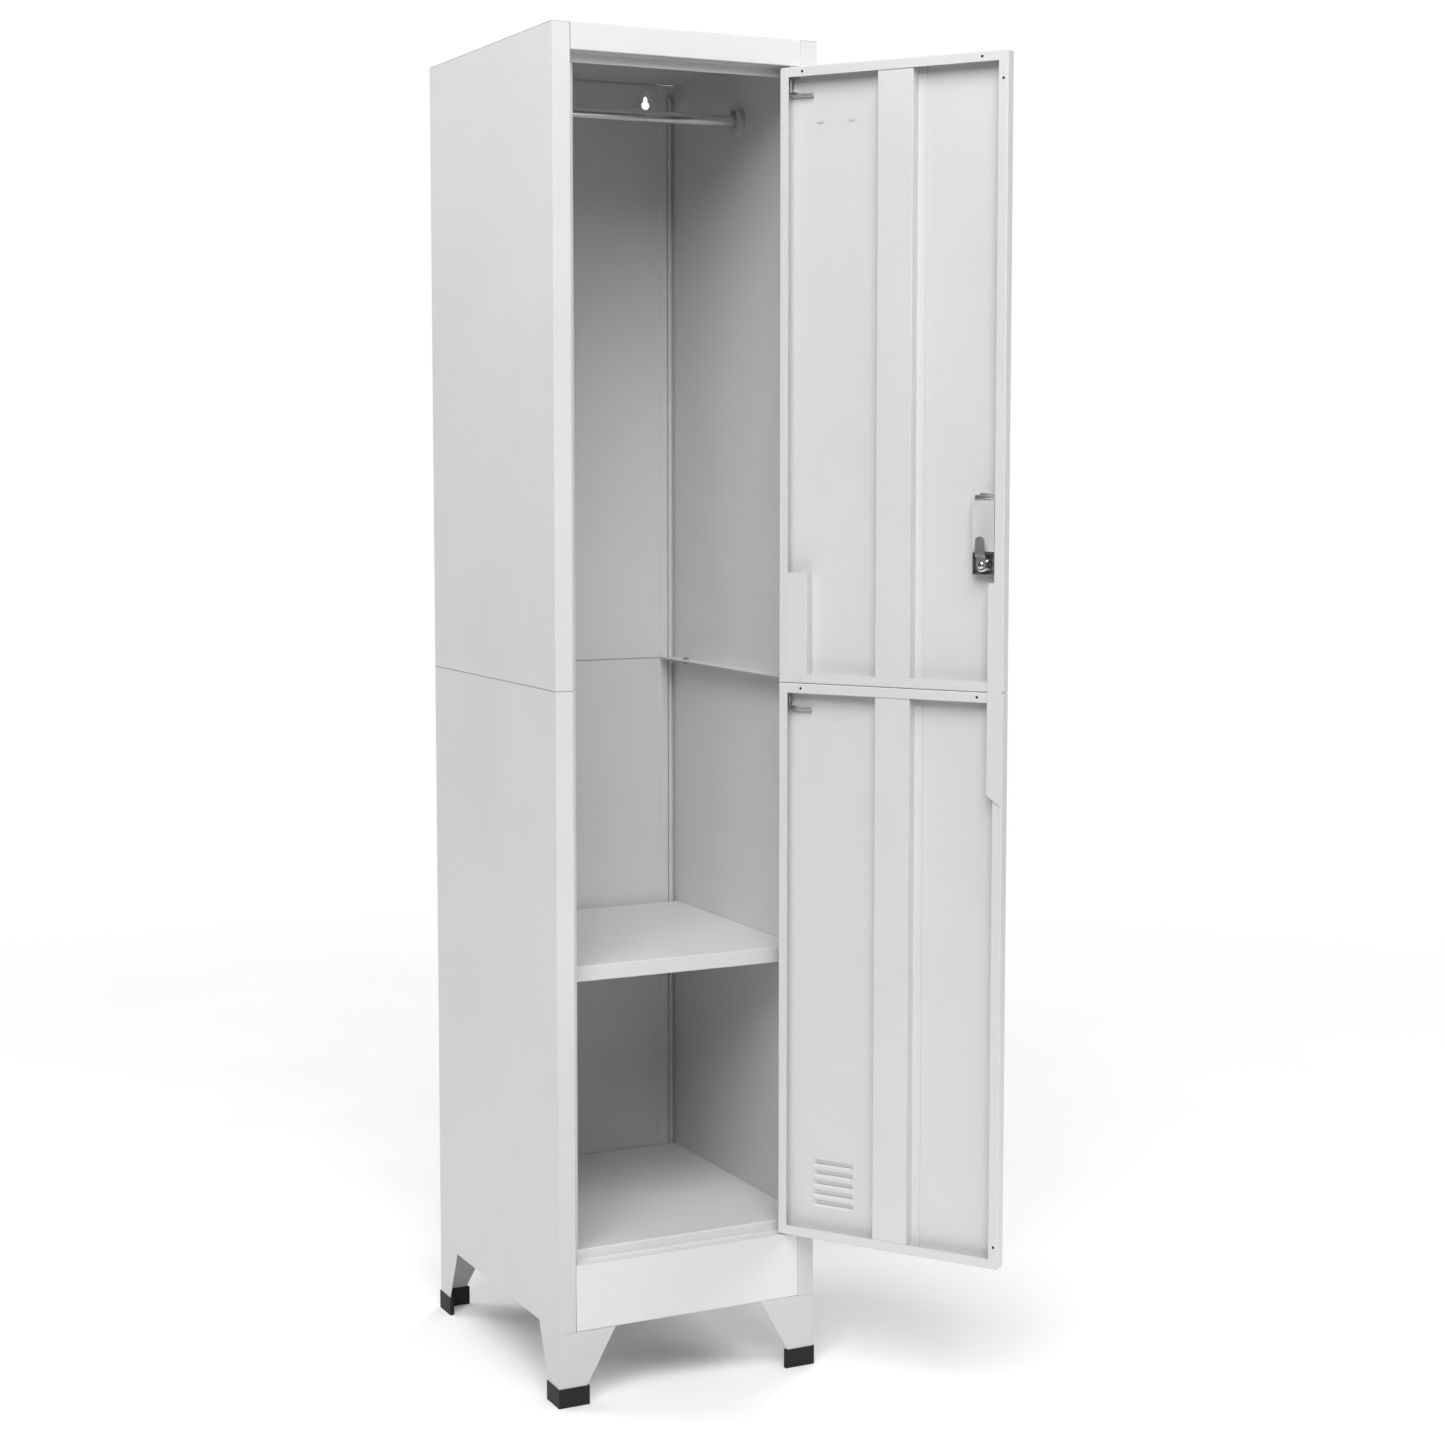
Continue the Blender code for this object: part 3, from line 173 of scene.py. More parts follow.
SCREW_FACE = 0.0186
SCREW_HEAD_RADIUS = 0.0048
SCREW_HEAD_HEIGHT = 0.0022
SCREW_SHANK = 0.0013
SCREW_LENGTH = 0.006
SCREW_SIDES = 40
SCREW_DOME = ((0.0001, 1.0), (0.35, 0.97), (0.62, 0.86), (0.85, 0.62), (0.98, 0.28), (1.0, 0.12), (0.97, 0))
RECESS_TOP = (1.1, 0.0028, 0.0006)
RECESS_BOTTOM = (0.35, 0.0016, 0.0004)

# Spring strip on the handle's cup: (y, z) of its foot from the skin, and of its hook from the cup's back
CUP_TOP = 1.2020
CUP_BACK = 0.0108
CUP_SPRING_SIDES = (0.2845, 0.3100)
CUP_SPRING_FOOT = ((0.0008, 0.0030), (0.0016, 0.0009), (0.0030, 0.0006))
CUP_SPRING_HOOK = (
    (-0.0006, 0.0006),
    (0.0001, 0.0005),
    (0.0006, -0.0001),
    (0.0007, -0.0010),
    (0.0007, -0.0036),
    (0.0012, -0.0044),
)
CUP_SPRING_THICK = 0.0004
CUP_SPRING_EDGE = 0.0001

# Springs of the hinge pins
SPRING_WIRE = 0.0004
SPRING_TURNS = 6
SPRING_STEPS = 40
SPRING_SIDES = 10

# Keyholes in the back, each with a bead that is highest at the point of a drop and least at its round bottom
KEYHOLE_X = 0.0455
KEYHOLE_Z = 1.766
CABINET_WIDTH = 0.380
BACK_FACE = 0.4448
EMBOSS_RADIUS = 0.0135
EMBOSS_TOP = 0.0272
EMBOSS_WIDTH = 0.0046
EMBOSS_HEIGHT = 0.0030
EMBOSS_LEAST = 0.04
EMBOSS_CREST = 0.0022
EMBOSS_LIFT = 0.0001
EMBOSS_SHEET = 0.0003
EMBOSS_SIDE_STEPS = 14
EMBOSS_ROUND_STEPS = 44
EMBOSS_ROWS = 4

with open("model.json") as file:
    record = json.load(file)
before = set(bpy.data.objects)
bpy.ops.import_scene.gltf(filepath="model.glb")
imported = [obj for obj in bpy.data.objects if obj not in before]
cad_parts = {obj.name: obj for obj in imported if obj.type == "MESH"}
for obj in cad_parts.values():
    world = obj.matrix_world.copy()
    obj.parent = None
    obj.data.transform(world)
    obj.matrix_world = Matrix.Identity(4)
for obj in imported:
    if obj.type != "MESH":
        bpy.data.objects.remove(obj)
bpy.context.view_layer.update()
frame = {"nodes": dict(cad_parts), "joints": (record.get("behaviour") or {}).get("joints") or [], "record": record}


# ---------------------------------------------------------------- materials


def new_material(name):
    material = bpy.data.materials.new(name)
    material.use_nodes = True
    tree = material.node_tree
    return material, tree, tree.nodes["Principled BSDF"]


def link(tree, source, target):
    tree.links.new(source, target)


def node(tree, kind, **settings):
    made = tree.nodes.new(kind)
    for key, value in settings.items():
        if key in made.inputs:
            made.inputs[key].default_value = value
        else:
            setattr(made, key, value)
    return made


def noise(tree, scale, detail=2.0, roughness=0.5):
    coordinates = tree.nodes.get("coordinates")
    if coordinates is None:
        coordinates = tree.nodes.new("ShaderNodeTexCoord")
        coordinates.name = "coordinates"
    made = node(tree, "ShaderNodeTexNoise", Scale=scale, Detail=detail, Roughness=roughness)
    link(tree, coordinates.outputs["Object"], made.inputs["Vector"])
    return made


def tone_range(tree, source, dark, light, low=0.35, high=0.65):
    """A colour that wanders between two tones with a texture."""
    ramp = tree.nodes.new("ShaderNodeValToRGB")
    ramp.color_ramp.elements[0].position = low
    ramp.color_ramp.elements[0].color = (*dark, 1)
    ramp.color_ramp.elements[1].position = high
    ramp.color_ramp.elements[1].color = (*light, 1)
    link(tree, source, ramp.inputs["Fac"])
    return ramp.outputs["Color"]


def value_range(tree, source, low, high, start=0.3, end=0.7):
    """A value that runs from low to high while the source runs from start to end."""
    made = tree.nodes.new("ShaderNodeMapRange")
    made.inputs["From Min"].default_value = start
    made.inputs["From Max"].default_value = end
    made.inputs["To Min"].default_value = low
    made.inputs["To Max"].default_value = high
    link(tree, source, made.inputs["Value"])
    return made.outputs["Result"]


def upward(tree, vector):
    """The upward part of a vector."""
    made = tree.nodes.new("ShaderNodeSeparateXYZ")
    link(tree, vector, made.inputs["Vector"])
    return made.outputs["Z"]


def away_from(tree, source, place):
    """How far a value is from a place, on either side of it."""
    offset = node(tree, "ShaderNodeMath", operation="SUBTRACT")
    offset.inputs[1].default_value = place
    link(tree, source, offset.inputs[0])
    size = node(tree, "ShaderNodeMath", operation="ABSOLUTE")
    link(tree, offset.outputs["Value"], size.inputs[0])
    return size.outputs["Value"]


def scaled(tree, tone, factor):
    made = node(tree, "ShaderNodeVectorMath", operation="SCALE")
    link(tree, tone, made.inputs["Vector"])
    link(tree, factor, made.inputs["Scale"])
    return made.outputs["Vector"]


def bump(tree, shader, *layers):
    """Each layer is (height output, distance, strength), the coarsest first."""
    normal = None
    for height, distance, strength in layers:
        made = node(tree, "ShaderNodeBump", Distance=distance, Strength=strength)
        link(tree, height, made.inputs["Height"])
        if normal:
            link(tree, normal, made.inputs["Normal"])
        normal = made.outputs["Normal"]
    link(tree, normal, shader.inputs["Normal"])


def shade(color, factor):
    return tuple(channel * factor for channel in color)


def powder_coat(name, color, *marks, roughness=COAT_ROUGHNESS):
    """Satin powder coat: faint orange peel, fine grain, and slow drifts of tone and gloss.

    Each mark makes the tone darker somewhere, as painted shade (with dirt along the joint).
    """
    material, tree, shader = new_material(name)
    drift = noise(tree, 5.0, 3.0)
    grain = noise(tree, 1400.0, 1.0)
    peel = noise(tree, 420.0, 2.0)
    tone = tone_range(tree, drift.outputs["Fac"], shade(color, 0.985), shade(color, 1.01))
    for mark in marks:
        tone = scaled(tree, tone, mark(tree))
    link(tree, tone, shader.inputs["Base Color"])
    link(tree, value_range(tree, peel.outputs["Fac"], *roughness), shader.inputs["Roughness"])
    bump(tree, shader, (peel.outputs["Fac"], 0.0002, 0.25), (grain.outputs["Fac"], 0.00008, 0.25))
    shader.inputs["Specular IOR Level"].default_value = 0.45
    return material


def foot_painted_shade(tree):
    """Painted shade: darker towards the floor."""
    height = upward(tree, tree.nodes["coordinates"].outputs["Object"])
    return value_range(tree, height, FOOT_TONE, 1.0, *FOOT_SPAN)


def joint_shade_and_dirt(tree):
    """Painted shade and dirt: a dark line where the two halves of the cabinet meet, for the shadow in the gap
    between them.
    """
    height = upward(tree, tree.nodes["coordinates"].outputs["Object"])
    return value_range(tree, away_from(tree, height, JOINT_Z), JOINT_TONE, 1.0, 0.0, JOINT_HALF)


def level_painted_shade(tree):
    """Painted shade: darker on level faces, the top and the ceiling under it."""
    facing = upward(tree, tree.nodes.new("ShaderNodeNewGeometry").outputs["Normal"])
    return value_range(tree, away_from(tree, facing, 0.0), 1.0, LEVEL_TONE, *LEVEL_SPAN)


def moulded_plastic(name, color, roughness):
    """Moulded plastic with a fine spark-eroded texture."""
    material, tree, shader = new_material(name)
    drift = noise(tree, 18.0, 3.0)
    texture = noise(tree, 1800.0, 3.0, 0.6)
    tone = tone_range(tree, drift.outputs["Fac"], shade(color, 0.93), shade(color, 1.06))
    gloss = value_range(tree, texture.outputs["Fac"], roughness - 0.07, roughness + 0.07)
    link(tree, tone, shader.inputs["Base Color"])
    link(tree, gloss, shader.inputs["Roughness"])
    bump(tree, shader, (texture.outputs["Fac"], 0.0001, 0.5))
    shader.inputs["Specular IOR Level"].default_value = 0.3
    return material


def metal(name, color, roughness, grain_scale, spread=0.05, depth=0.00004):
    """Plated or bare metal with fine grain and small drifts of gloss."""
    material, tree, shader = new_material(name)
    drift = noise(tree, 40.0, 3.0)
    grain = noise(tree, grain_scale, 3.0, 0.6)
    tone = tone_range(tree, drift.outputs["Fac"], shade(color, 0.9), shade(color, 1.05))
    gloss = value_range(tree, drift.outputs["Fac"], roughness - spread, roughness + spread)
    link(tree, tone, shader.inputs["Base Color"])
    link(tree, gloss, shader.inputs["Roughness"])
    bump(tree, shader, (grain.outputs["Fac"], depth, 0.4))
    shader.inputs["Metallic"].default_value = 1.0
    return material


MATERIALS = {
    "light_grey_paint": powder_coat("powder_coat", PAINT),
    "grey_plastic": moulded_plastic("grey_moulding", (0.62, 0.62, 0.63), 0.45),
    "black_plastic": moulded_plastic("black_moulding", (0.011, 0.011, 0.012), 0.62),
    "white_nylon": moulded_plastic("nylon", (0.80, 0.79, 0.75), 0.5),
    "chrome": metal("chrome_plate", (0.82, 0.82, 0.84), 0.12, 900.0),
    "zinc_plated_steel": metal("zinc_plate", (0.66, 0.66, 0.68), 0.36, 700.0),
    "dark_steel": metal("dark_alloy", (0.43, 0.43, 0.44), 0.48, 700.0),
    "spring_steel": metal("spring_wire", (0.46, 0.46, 0.48), 0.28, 700.0),
}


def finishes():
    """The finish of each node that differs from the rest of its slot."""
    # These finishes hold painted shade: along the joint (with dirt), towards the floor, and on level faces.
    sheet = powder_coat("joint_and_foot_shaded_coat", PAINT, foot_painted_shade, joint_shade_and_dirt)
    leg = powder_coat("foot_shaded_coat", PAINT, foot_painted_shade)
    lid = powder_coat("level_shaded_coat", PAINT, level_painted_shade, roughness=LID_ROUGHNESS)
    found = {"top_panel": lid}
    for name in frame["nodes"]:
        if name.startswith(("left_side", "right_side", "back_")):
            found[name] = sheet
        elif name.startswith("leg_") and "bolt" not in name:
            found[name] = leg
        # The seam bolts take the dark steel: painted shade, darker than zinc, for the shadow they sit in.
        elif name.startswith("seam_bolt"):
            found[name] = MATERIALS["dark_steel"]
    return found


# ---------------------------------------------------------------- the frame's own pieces


def smoothing_group():
    """Geometry nodes that weld a node's facets and shade it smooth up to a sharp angle."""
    group = bpy.data.node_groups.new("smooth_by_angle", "GeometryNodeTree")
    group.interface.new_socket("Geometry", in_out="INPUT", socket_type="NodeSocketGeometry")
    group.interface.new_socket("Geometry", in_out="OUTPUT", socket_type="NodeSocketGeometry")
    start = group.nodes.new("NodeGroupInput")
    end = group.nodes.new("NodeGroupOutput")
    weld = group.nodes.new("GeometryNodeMergeByDistance")
    weld.inputs["Distance"].default_value = WELD_DISTANCE
    faces = group.nodes.new("GeometryNodeSetShadeSmooth")
    faces.domain = "FACE"
    edges = group.nodes.new("GeometryNodeSetShadeSmooth")
    edges.domain = "EDGE"
    edges.inputs["Shade Smooth"].default_value = False
    angle = group.nodes.new("GeometryNodeInputMeshEdgeAngle")
    sharp = group.nodes.new("FunctionNodeCompare")
    sharp.operation = "GREATER_THAN"
    sharp.inputs["B"].default_value = SMOOTH_ANGLE
    group.links.new(start.outputs[0], weld.inputs["Geometry"])
    group.links.new(weld.outputs["Geometry"], faces.inputs["Geometry"])
    group.links.new(faces.outputs["Geometry"], edges.inputs["Geometry"])
    group.links.new(angle.outputs["Unsigned Angle"], sharp.inputs["A"])
    group.links.new(sharp.outputs["Result"], edges.inputs["Selection"])
    group.links.new(edges.outputs["Geometry"], end.inputs[0])
    return group


SMOOTHING = smoothing_group()


def dress_nodes():
    """Every node of the frame gets its finish, smooth shading and, where it has them, rounded edges."""
    slots = {part["node"]: part["material_slot"] for part in frame["record"]["subparts"]}
    special = finishes()
    for name, made in frame["nodes"].items():
        material = special.get(name, MATERIALS[slots[name]])
        for slot in made.material_slots:
            slot.material = material
        normals = made.data.attributes.get("custom_normal")
        if normals:
            made.data.attributes.remove(normals)
        smooth(made)
        for start, width in ROUNDED.items():
            if name.startswith(start):
                bevel = made.modifiers.new("rounded edges", "BEVEL")
                bevel.width = width
                bevel.segments = ROUNDED_SEGMENTS
                bevel.limit_method = "ANGLE"
                bevel.angle_limit = ROUNDED_ANGLE
                smooth(made)
        even_normals(made)


def smooth(made):
    modifier = made.modifiers.new("smooth", "NODES")
    modifier.node_group = SMOOTHING


def even_normals(made):
    """Keeps flat faces flat next to small folds and rounded edges."""
    modifier = made.modifiers.new("even normals", "WEIGHTED_NORMAL")
    modifier.keep_sharp = True


dress_nodes()


# ---------------------------------------------------------------- pieces


def door_point(s, y, z):
    """A place on the door as it stands open at rest."""
    hinge = next(joint for joint in frame["joints"] if joint["name"] == "door_hinge")["pos_m"]
    turned = Matrix.Rotation(OPEN_ANGLE, 3, "Z") @ Vector((PIVOT_INSET - s, y, 0))
    return Vector((hinge[0], hinge[1], z)) + turned


def lock_ring(y, radii):
    """A ring of points round the lock's axis. The radii go round it in even steps."""
    step = 2 * math.pi / len(radii)
    return [
        door_point(LOCK_S + radius * math.cos(i * step), y, LOCK_Z + radius * math.sin(i * step))
        for i, radius in enumerate(radii)
    ]


def skin(bm, rows, closed=False):
    """Faces between rows of points, every row as long as the next. Closed rows are rings."""
    grid = [[bm.verts.new(point) for point in row] for row in rows]
    for low, high in zip(grid, grid[1:]):
        pairs = list(zip(low, high))
        if closed:
            pairs.append(pairs[0])
        for (a, b), (d, c) in zip(pairs, pairs[1:]):
            bm.faces.new((a, b, c, d))
    return grid


def cap(bm, grid):
    """Faces over the first and the last ring of a closed skin."""
    bm.faces.new(grid[0])
    bm.faces.new(grid[-1])


def thicken(made, thickness, offset=0):
    modifier = made.modifiers.new("sheet", "SOLIDIFY")
    modifier.thickness = thickness
    modifier.offset = offset


def piece(name, bm, body, slot):
    """An object from the mesh being built, which rides on a body and takes a slot's finish."""
    mesh = bpy.data.meshes.new(name)
    bmesh.ops.remove_doubles(bm, verts=bm.verts, dist=WELD_DISTANCE)
    bmesh.ops.recalc_face_normals(bm, faces=bm.faces)
    bm.to_mesh(mesh)
    bm.free()
    mesh.materials.append(MATERIALS[slot])
    mesh.shade_smooth()
    mesh.set_sharp_from_angle(angle=SMOOTH_ANGLE)
    made = bpy.data.objects.new(name, mesh)
    bpy.context.scene.collection.objects.link(made)
    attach(made, body)
    return made


def louvre(number):
    """A hood pressed out of the door's skin, and the lower lip that turns up behind it."""
    middle = LOUVRE_Z + number * LOUVRE_PITCH
    start, end = LOUVRE_SIDES
    bm = bmesh.new()
    for profile in (LOUVRE_HOOD, LOUVRE_LIP):
        rows = []
        for i in range(LOUVRE_STEPS + 1):
            s = start + (end - start) * i / LOUVRE_STEPS
            inset = min(s - start, end - s, LOUVRE_END) / LOUVRE_END
            swell = math.sqrt(1 - (1 - inset) ** 2)
            rows.append(
                [
                    door_point(s, SKIN_Y - LOUVRE_DEPTH * depth * swell, middle + LOUVRE_HALF * height)
                    for depth, height in profile
                ]
            )
        skin(bm, rows)
    thicken(piece(f"louvre_{number + 1}", bm, "door", "light_grey_paint"), LOUVRE_SHEET)


def buffer(number, s, z):
    """A soft black stud pushed into a hole of the door's lip; its black also stands in as painted shade for the
    dark inside the hole.
    """
    rows = []
    for share, y in BUFFER_PROFILE:
        radius = BUFFER_RADIUS * share
        ring = []
        for i in range(BUFFER_SIDES):
            angle = 2 * math.pi * i / BUFFER_SIDES
            ring.append(door_point(s + radius * math.cos(angle), LIP_Y + y, z + radius * math.sin(angle)))
        rows.append(ring)
    bm = bmesh.new()
    cap(bm, skin(bm, rows, closed=True))
    piece(f"lip_buffer_{number + 1}", bm, "door", "black_plastic")


def barrel():
    """The lock's threaded barrel with its two flats and its rounded head in front."""
    head, end = BARREL_SPAN
    thread_start, thread_end = THREAD_SPAN

    def plain(radius):
        return [radius] * BARREL_SIDES

    def threaded(y, fade):
        radii = []
        for i in range(BARREL_SIDES):
            angle = 2 * math.pi * i / BARREL_SIDES
            turn = (y / THREAD_PITCH - i / BARREL_SIDES) % 1.0
            groove = THREAD_DEPTH * fade * abs(2 * turn - 1)
            flat = BARREL_FLAT / max(abs(math.cos(angle)), 0.001)
            radii.append(min(BARREL_RADIUS - groove, flat))
        return radii

    rows = [(head, plain(BARREL_BORE))]
    rows += [(head + rise, plain(BARREL_HEAD - inset)) for rise, inset in HEAD_EDGE]
    rows += [
        (head + HEAD_EDGE[-1][0], plain(BARREL_RADIUS)),
        (thread_start, plain(BARREL_FLAT)),
    ]
    for i in range(THREAD_STEPS + 1):
        share = i / THREAD_STEPS
        y = thread_start + (thread_end - thread_start) * share
        fade = min(1.0, THREAD_RUNOUT * share, THREAD_RUNOUT * (1 - share))
        rows.append((y, threaded(y, fade)))
    rows += [
        (end, plain(BARREL_FLAT - BARREL_CHAMFER)),
        (end, plain(BARREL_BORE)),
        (head, plain(BARREL_BORE)),
    ]
    bm = bmesh.new()
    skin(bm, [lock_ring(y, radii) for y, radii in rows], closed=True)
    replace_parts(piece("threaded_barrel", bm, "door", "chrome"), "lock_barrel")


def nut():
    """A hexagonal nut with its corners chamfered on both faces."""
    low, high = NUT_SPAN
    bore = [NUT_BORE] * NUT_SIDES
    hexagon = []
    for i in range(NUT_SIDES):
        angle = (360 * i / NUT_SIDES + 30) % 60 - 30
        hexagon.append(NUT_FLAT / math.cos(math.radians(angle)))
    face = [min(radius, NUT_FLAT * NUT_FACE) for radius in hexagon]
    chamfer = (max(hexagon) - NUT_FLAT) / 2
    rows = [
        (low, bore),
        (low, face),
        (low + chamfer, hexagon),
        (high - chamfer, hexagon),
        (high, face),
        (high, bore),
        (low, bore),
    ]
    bm = bmesh.new()
    skin(bm, [lock_ring(y, radii) for y, radii in rows], closed=True)
    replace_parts(piece("chamfered_nut", bm, "door", "zinc_plated_steel"), "lock_nut")


def screw():
    """The screw that holds the cam: a domed head with a cross recess."""
    rows = []
    for share, height in SCREW_DOME:
        rows.append((SCREW_FACE + SCREW_HEAD_HEIGHT * height, SCREW_HEAD_RADIUS * share))
    rows += [
        (SCREW_FACE, SCREW_SHANK),
        (SCREW_FACE - SCREW_LENGTH, SCREW_SHANK),
        (SCREW_FACE - SCREW_LENGTH, SCREW_SHANK * 0.01),
    ]
    bm = bmesh.new()
    cap(bm, skin(bm, [lock_ring(y, [radius] * SCREW_SIDES) for y, radius in rows], closed=True))
    made = piece("cross_head_screw", bm, "lock_rotor", "chrome")
    carve(made, cross_recess())
    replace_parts(made, "cam_screw")


def cross_recess():
    """A tapered cross that reaches two thirds of the way through the screw's head."""
    bm = bmesh.new()
    for turned in (False, True):
        rows = []
        for share, long, short in (RECESS_BOTTOM, RECESS_TOP):
            y = SCREW_FACE + SCREW_HEAD_HEIGHT * share
            corners = ((-long, -short), (long, -short), (long, short), (-long, short))
            if turned:
                corners = [(b, a) for a, b in corners]
            rows.append([door_point(LOCK_S + a, y, LOCK_Z + b) for a, b in corners])
        cap(bm, skin(bm, rows, closed=True))
    bmesh.ops.recalc_face_normals(bm, faces=bm.faces)
    mesh = bpy.data.meshes.new("recess")
    bm.to_mesh(mesh)
    bm.free()
    made = bpy.data.objects.new("recess", mesh)
    bpy.context.scene.collection.objects.link(made)
    return made


def carve(made, tool):
    """Takes the tool's shape out of a piece, and removes the tool."""
    modifier = made.modifiers.new("recess", "BOOLEAN")
    modifier.object = tool
    modifier.solver = "EXACT"
    modifier.use_self = True
    bpy.context.view_layer.update()
    graph = bpy.context.evaluated_depsgraph_get()
    mesh = bpy.data.meshes.new_from_object(made.evaluated_get(graph))
    made.modifiers.remove(modifier)
    made.data = mesh
    mesh.set_sharp_from_angle(angle=SMOOTH_ANGLE)
    bpy.data.objects.remove(tool)


def cup_spring():
    """A bent spring strip that clamps the top of the handle's cup behind the skin."""
    path = [(SKIN_Y + y, CUP_TOP + z) for y, z in CUP_SPRING_FOOT]
    path += [(CUP_BACK + y, CUP_TOP + z) for y, z in CUP_SPRING_HOOK]
    bm = bmesh.new()
    skin(bm, [[door_point(s, y, z) for y, z in path] for s in CUP_SPRING_SIDES])
    made = piece("cup_spring", bm, "door", "dark_steel")
    thicken(made, CUP_SPRING_THICK)
    edges = made.modifiers.new("edges", "BEVEL")
    edges.width = CUP_SPRING_EDGE
    edges.segments = 2


def pin_spring(half):
    """The spring under a hinge pin's collar."""
    low, high = (Vector(corner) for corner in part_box(f"pin_spring_{half}"))
    middle = (low + high) / 2
    radius = (high.x - low.x) / 2 - SPRING_WIRE
    steps = SPRING_STEPS * SPRING_TURNS
    rows = []
    for i in range(steps + 1):
        angle = 2 * math.pi * SPRING_TURNS * i / steps
        outward = Vector((math.cos(angle), math.sin(angle), 0))
        height = low.z + SPRING_WIRE + (high.z - low.z - 2 * SPRING_WIRE) * i / steps
        centre = Vector((middle.x, middle.y, height)) + outward * radius
        ring = []
        for k in range(SPRING_SIDES):
            turn = 2 * math.pi * k / SPRING_SIDES
            ring.append(centre + (outward * math.cos(turn) + Vector((0, 0, math.sin(turn)))) * SPRING_WIRE)
        rows.append(ring)
    bm = bmesh.new()
    cap(bm, skin(bm, rows, closed=True))
    made = piece(f"coil_spring_{half}", bm, "door", "spring_steel")
    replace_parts(made, f"pin_spring_{half}")
    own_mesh(made)


def drop_outline():
    """A round with two straight sides that meet in a point above it, measured from the round's middle."""
    tangent = math.acos(EMBOSS_RADIUS / EMBOSS_TOP)
    foot = (EMBOSS_RADIUS * math.sin(tangent), EMBOSS_RADIUS * math.cos(tangent))
    side = []
    for i in range(EMBOSS_SIDE_STEPS):
        share = i / EMBOSS_SIDE_STEPS
        side.append((foot[0] * share, EMBOSS_TOP + (foot[1] - EMBOSS_TOP) * share))
    bottom = []
    for i in range(EMBOSS_ROUND_STEPS + 1):
        angle = tangent + (2 * math.pi - 2 * tangent) * i / EMBOSS_ROUND_STEPS
        bottom.append((EMBOSS_RADIUS * math.sin(angle), EMBOSS_RADIUS * math.cos(angle)))
    return side + bottom + [(-u, v) for u, v in reversed(side[1:])]


def keyhole_emboss(side, x):
    """A drop-shaped bead round a keyhole, highest at its pointed top and fading out at the bottom."""
    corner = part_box("left_side_upper")[0]
    path = drop_outline()
    rows = []
    for i, (u, v) in enumerate(path):
        before, after = Vector(path[i - 1]), Vector(path[(i + 1) % len(path)])
        along = (after - before).normalized()
        across = Vector((along.y, -along.x))
        level = max(EMBOSS_LEAST, (v + EMBOSS_RADIUS) / (EMBOSS_TOP + EMBOSS_RADIUS))
        ring = []
        for k in range(-EMBOSS_ROWS, EMBOSS_ROWS + 1):
            share = k / EMBOSS_ROWS
            rise = EMBOSS_HEIGHT * level * (1 - share**2) ** 1.5
            place = Vector((u, v)) + across * share * EMBOSS_WIDTH / 2
            ring.append(
                (
                    corner[0] + x + place.x,
                    corner[1] + BACK_FACE + EMBOSS_LIFT - rise,
                    KEYHOLE_Z + min(place.y, EMBOSS_TOP + EMBOSS_CREST),
                )
            )
        rows.append(ring)
    rows.append(rows[0])
    bm = bmesh.new()
    skin(bm, rows)
    made = piece(f"keyhole_emboss_{side}", bm, "cabinet", "light_grey_paint")
    thicken(made, EMBOSS_SHEET, offset=-1)


for number in range(LOUVRE_COUNT):
    louvre(number)
for number, place in enumerate(BUFFERS):
    buffer(number, *place)
barrel()
nut()
screw()
cup_spring()
pin_spring("upper")
pin_spring("lower")
keyhole_emboss("left", KEYHOLE_X)
keyhole_emboss("right", CABINET_WIDTH - KEYHOLE_X)


# ---------------------------------------------------------------- studio


def backdrop():
    """Plain white all round, which lights the object more softly than it shows."""
    scene = bpy.context.scene
    world = bpy.data.worlds.new("studio")
    scene.world = world
    world.use_nodes = True
    tree = world.node_tree
    background = tree.nodes["Background"]
    background.inputs["Color"].default_value = (1, 1, 1, 1)
    seen = tree.nodes.new("ShaderNodeLightPath")
    strength = tree.nodes.new("ShaderNodeMapRange")
    strength.inputs["To Min"].default_value = AMBIENT
    strength.inputs["To Max"].default_value = 1.0
    link(tree, seen.outputs["Is Camera Ray"], strength.inputs["Value"])
    link(tree, strength.outputs["Result"], background.inputs["Strength"])
    scene.view_settings.view_transform = "Standard"


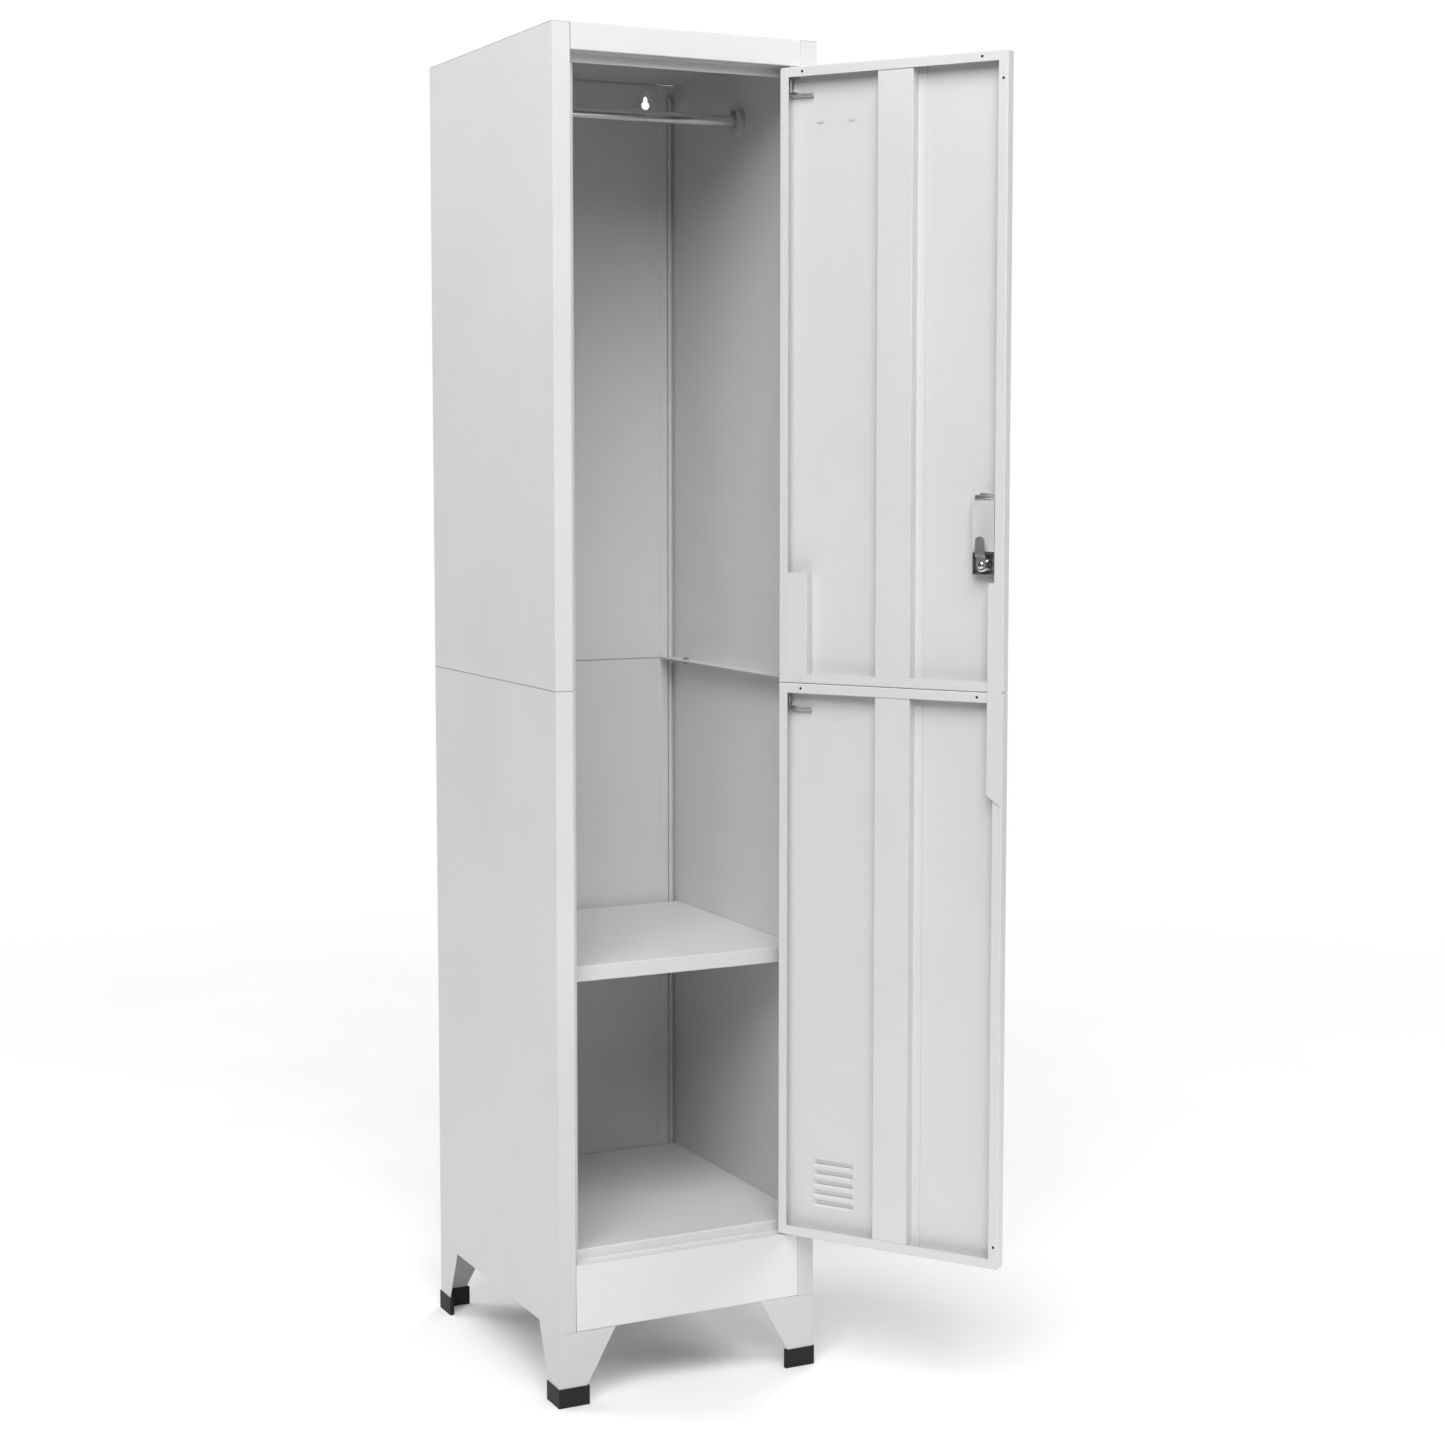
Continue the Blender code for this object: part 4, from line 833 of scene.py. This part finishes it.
def floor():
    """A round pale floor that fades out into the backdrop."""
    mesh = bpy.data.meshes.new("floor")
    bm = bmesh.new()
    bmesh.ops.create_circle(bm, cap_ends=True, segments=96, radius=FLOOR_RADIUS)
    bm.to_mesh(mesh)
    bm.free()
    made = bpy.data.objects.new("floor", mesh)
    bpy.context.scene.collection.objects.link(made)
    material, tree, shader = new_material("pale_floor")
    shader.inputs["Base Color"].default_value = (*FLOOR_TONE, 1)
    cloud = noise(tree, 3.0, 4.0)
    link(tree, value_range(tree, cloud.outputs["Fac"], 0.55, 0.7), shader.inputs["Roughness"])
    place = tree.nodes["coordinates"].outputs["Object"]
    distance = node(tree, "ShaderNodeVectorMath", operation="LENGTH")
    link(tree, place, distance.inputs[0])
    fade = tree.nodes.new("ShaderNodeMapRange")
    fade.interpolation_type = "SMOOTHSTEP"
    fade.inputs["From Min"].default_value = FLOOR_FADE[0] * FLOOR_RADIUS
    fade.inputs["From Max"].default_value = FLOOR_FADE[1] * FLOOR_RADIUS
    link(tree, distance.outputs["Value"], fade.inputs["Value"])
    clear = tree.nodes.new("ShaderNodeBsdfTransparent")
    mix = tree.nodes.new("ShaderNodeMixShader")
    link(tree, fade.outputs["Result"], mix.inputs[0])
    link(tree, shader.outputs["BSDF"], mix.inputs[1])
    link(tree, clear.outputs["BSDF"], mix.inputs[2])
    link(tree, mix.outputs["Shader"], tree.nodes["Material Output"].inputs["Surface"])
    mesh.materials.append(material)


def softbox(name, azimuth, elevation, size, power):
    """A square soft light that aims at one place in the object."""
    a, e = math.radians(azimuth), math.radians(elevation)
    target = Vector((0, 0, LIGHT_AIM))
    back = Vector((math.sin(a) * math.cos(e), -math.cos(a) * math.cos(e), math.sin(e)))
    data = bpy.data.lights.new(name, "AREA")
    data.size = size
    data.energy = power
    made = bpy.data.objects.new(name, data)
    made.location = target + back * LIGHT_DISTANCE
    made.rotation_euler = (-back).to_track_quat("-Z", "Y").to_euler()
    bpy.context.scene.collection.objects.link(made)


def camera():
    data = bpy.data.cameras.new("camera")
    data.sensor_width = CAMERA_SENSOR
    data.lens = CAMERA_LENS
    data.shift_y = CAMERA_SHIFT
    made = bpy.data.objects.new("camera", data)
    made.location = CAMERA_PLACE
    made.rotation_euler = (math.pi / 2 - CAMERA_PITCH, 0, -CAMERA_YAW)
    bpy.context.scene.collection.objects.link(made)
    bpy.context.scene.camera = made


backdrop()
floor()
for name, measures in LIGHTS.items():
    softbox(name, *measures)
camera()
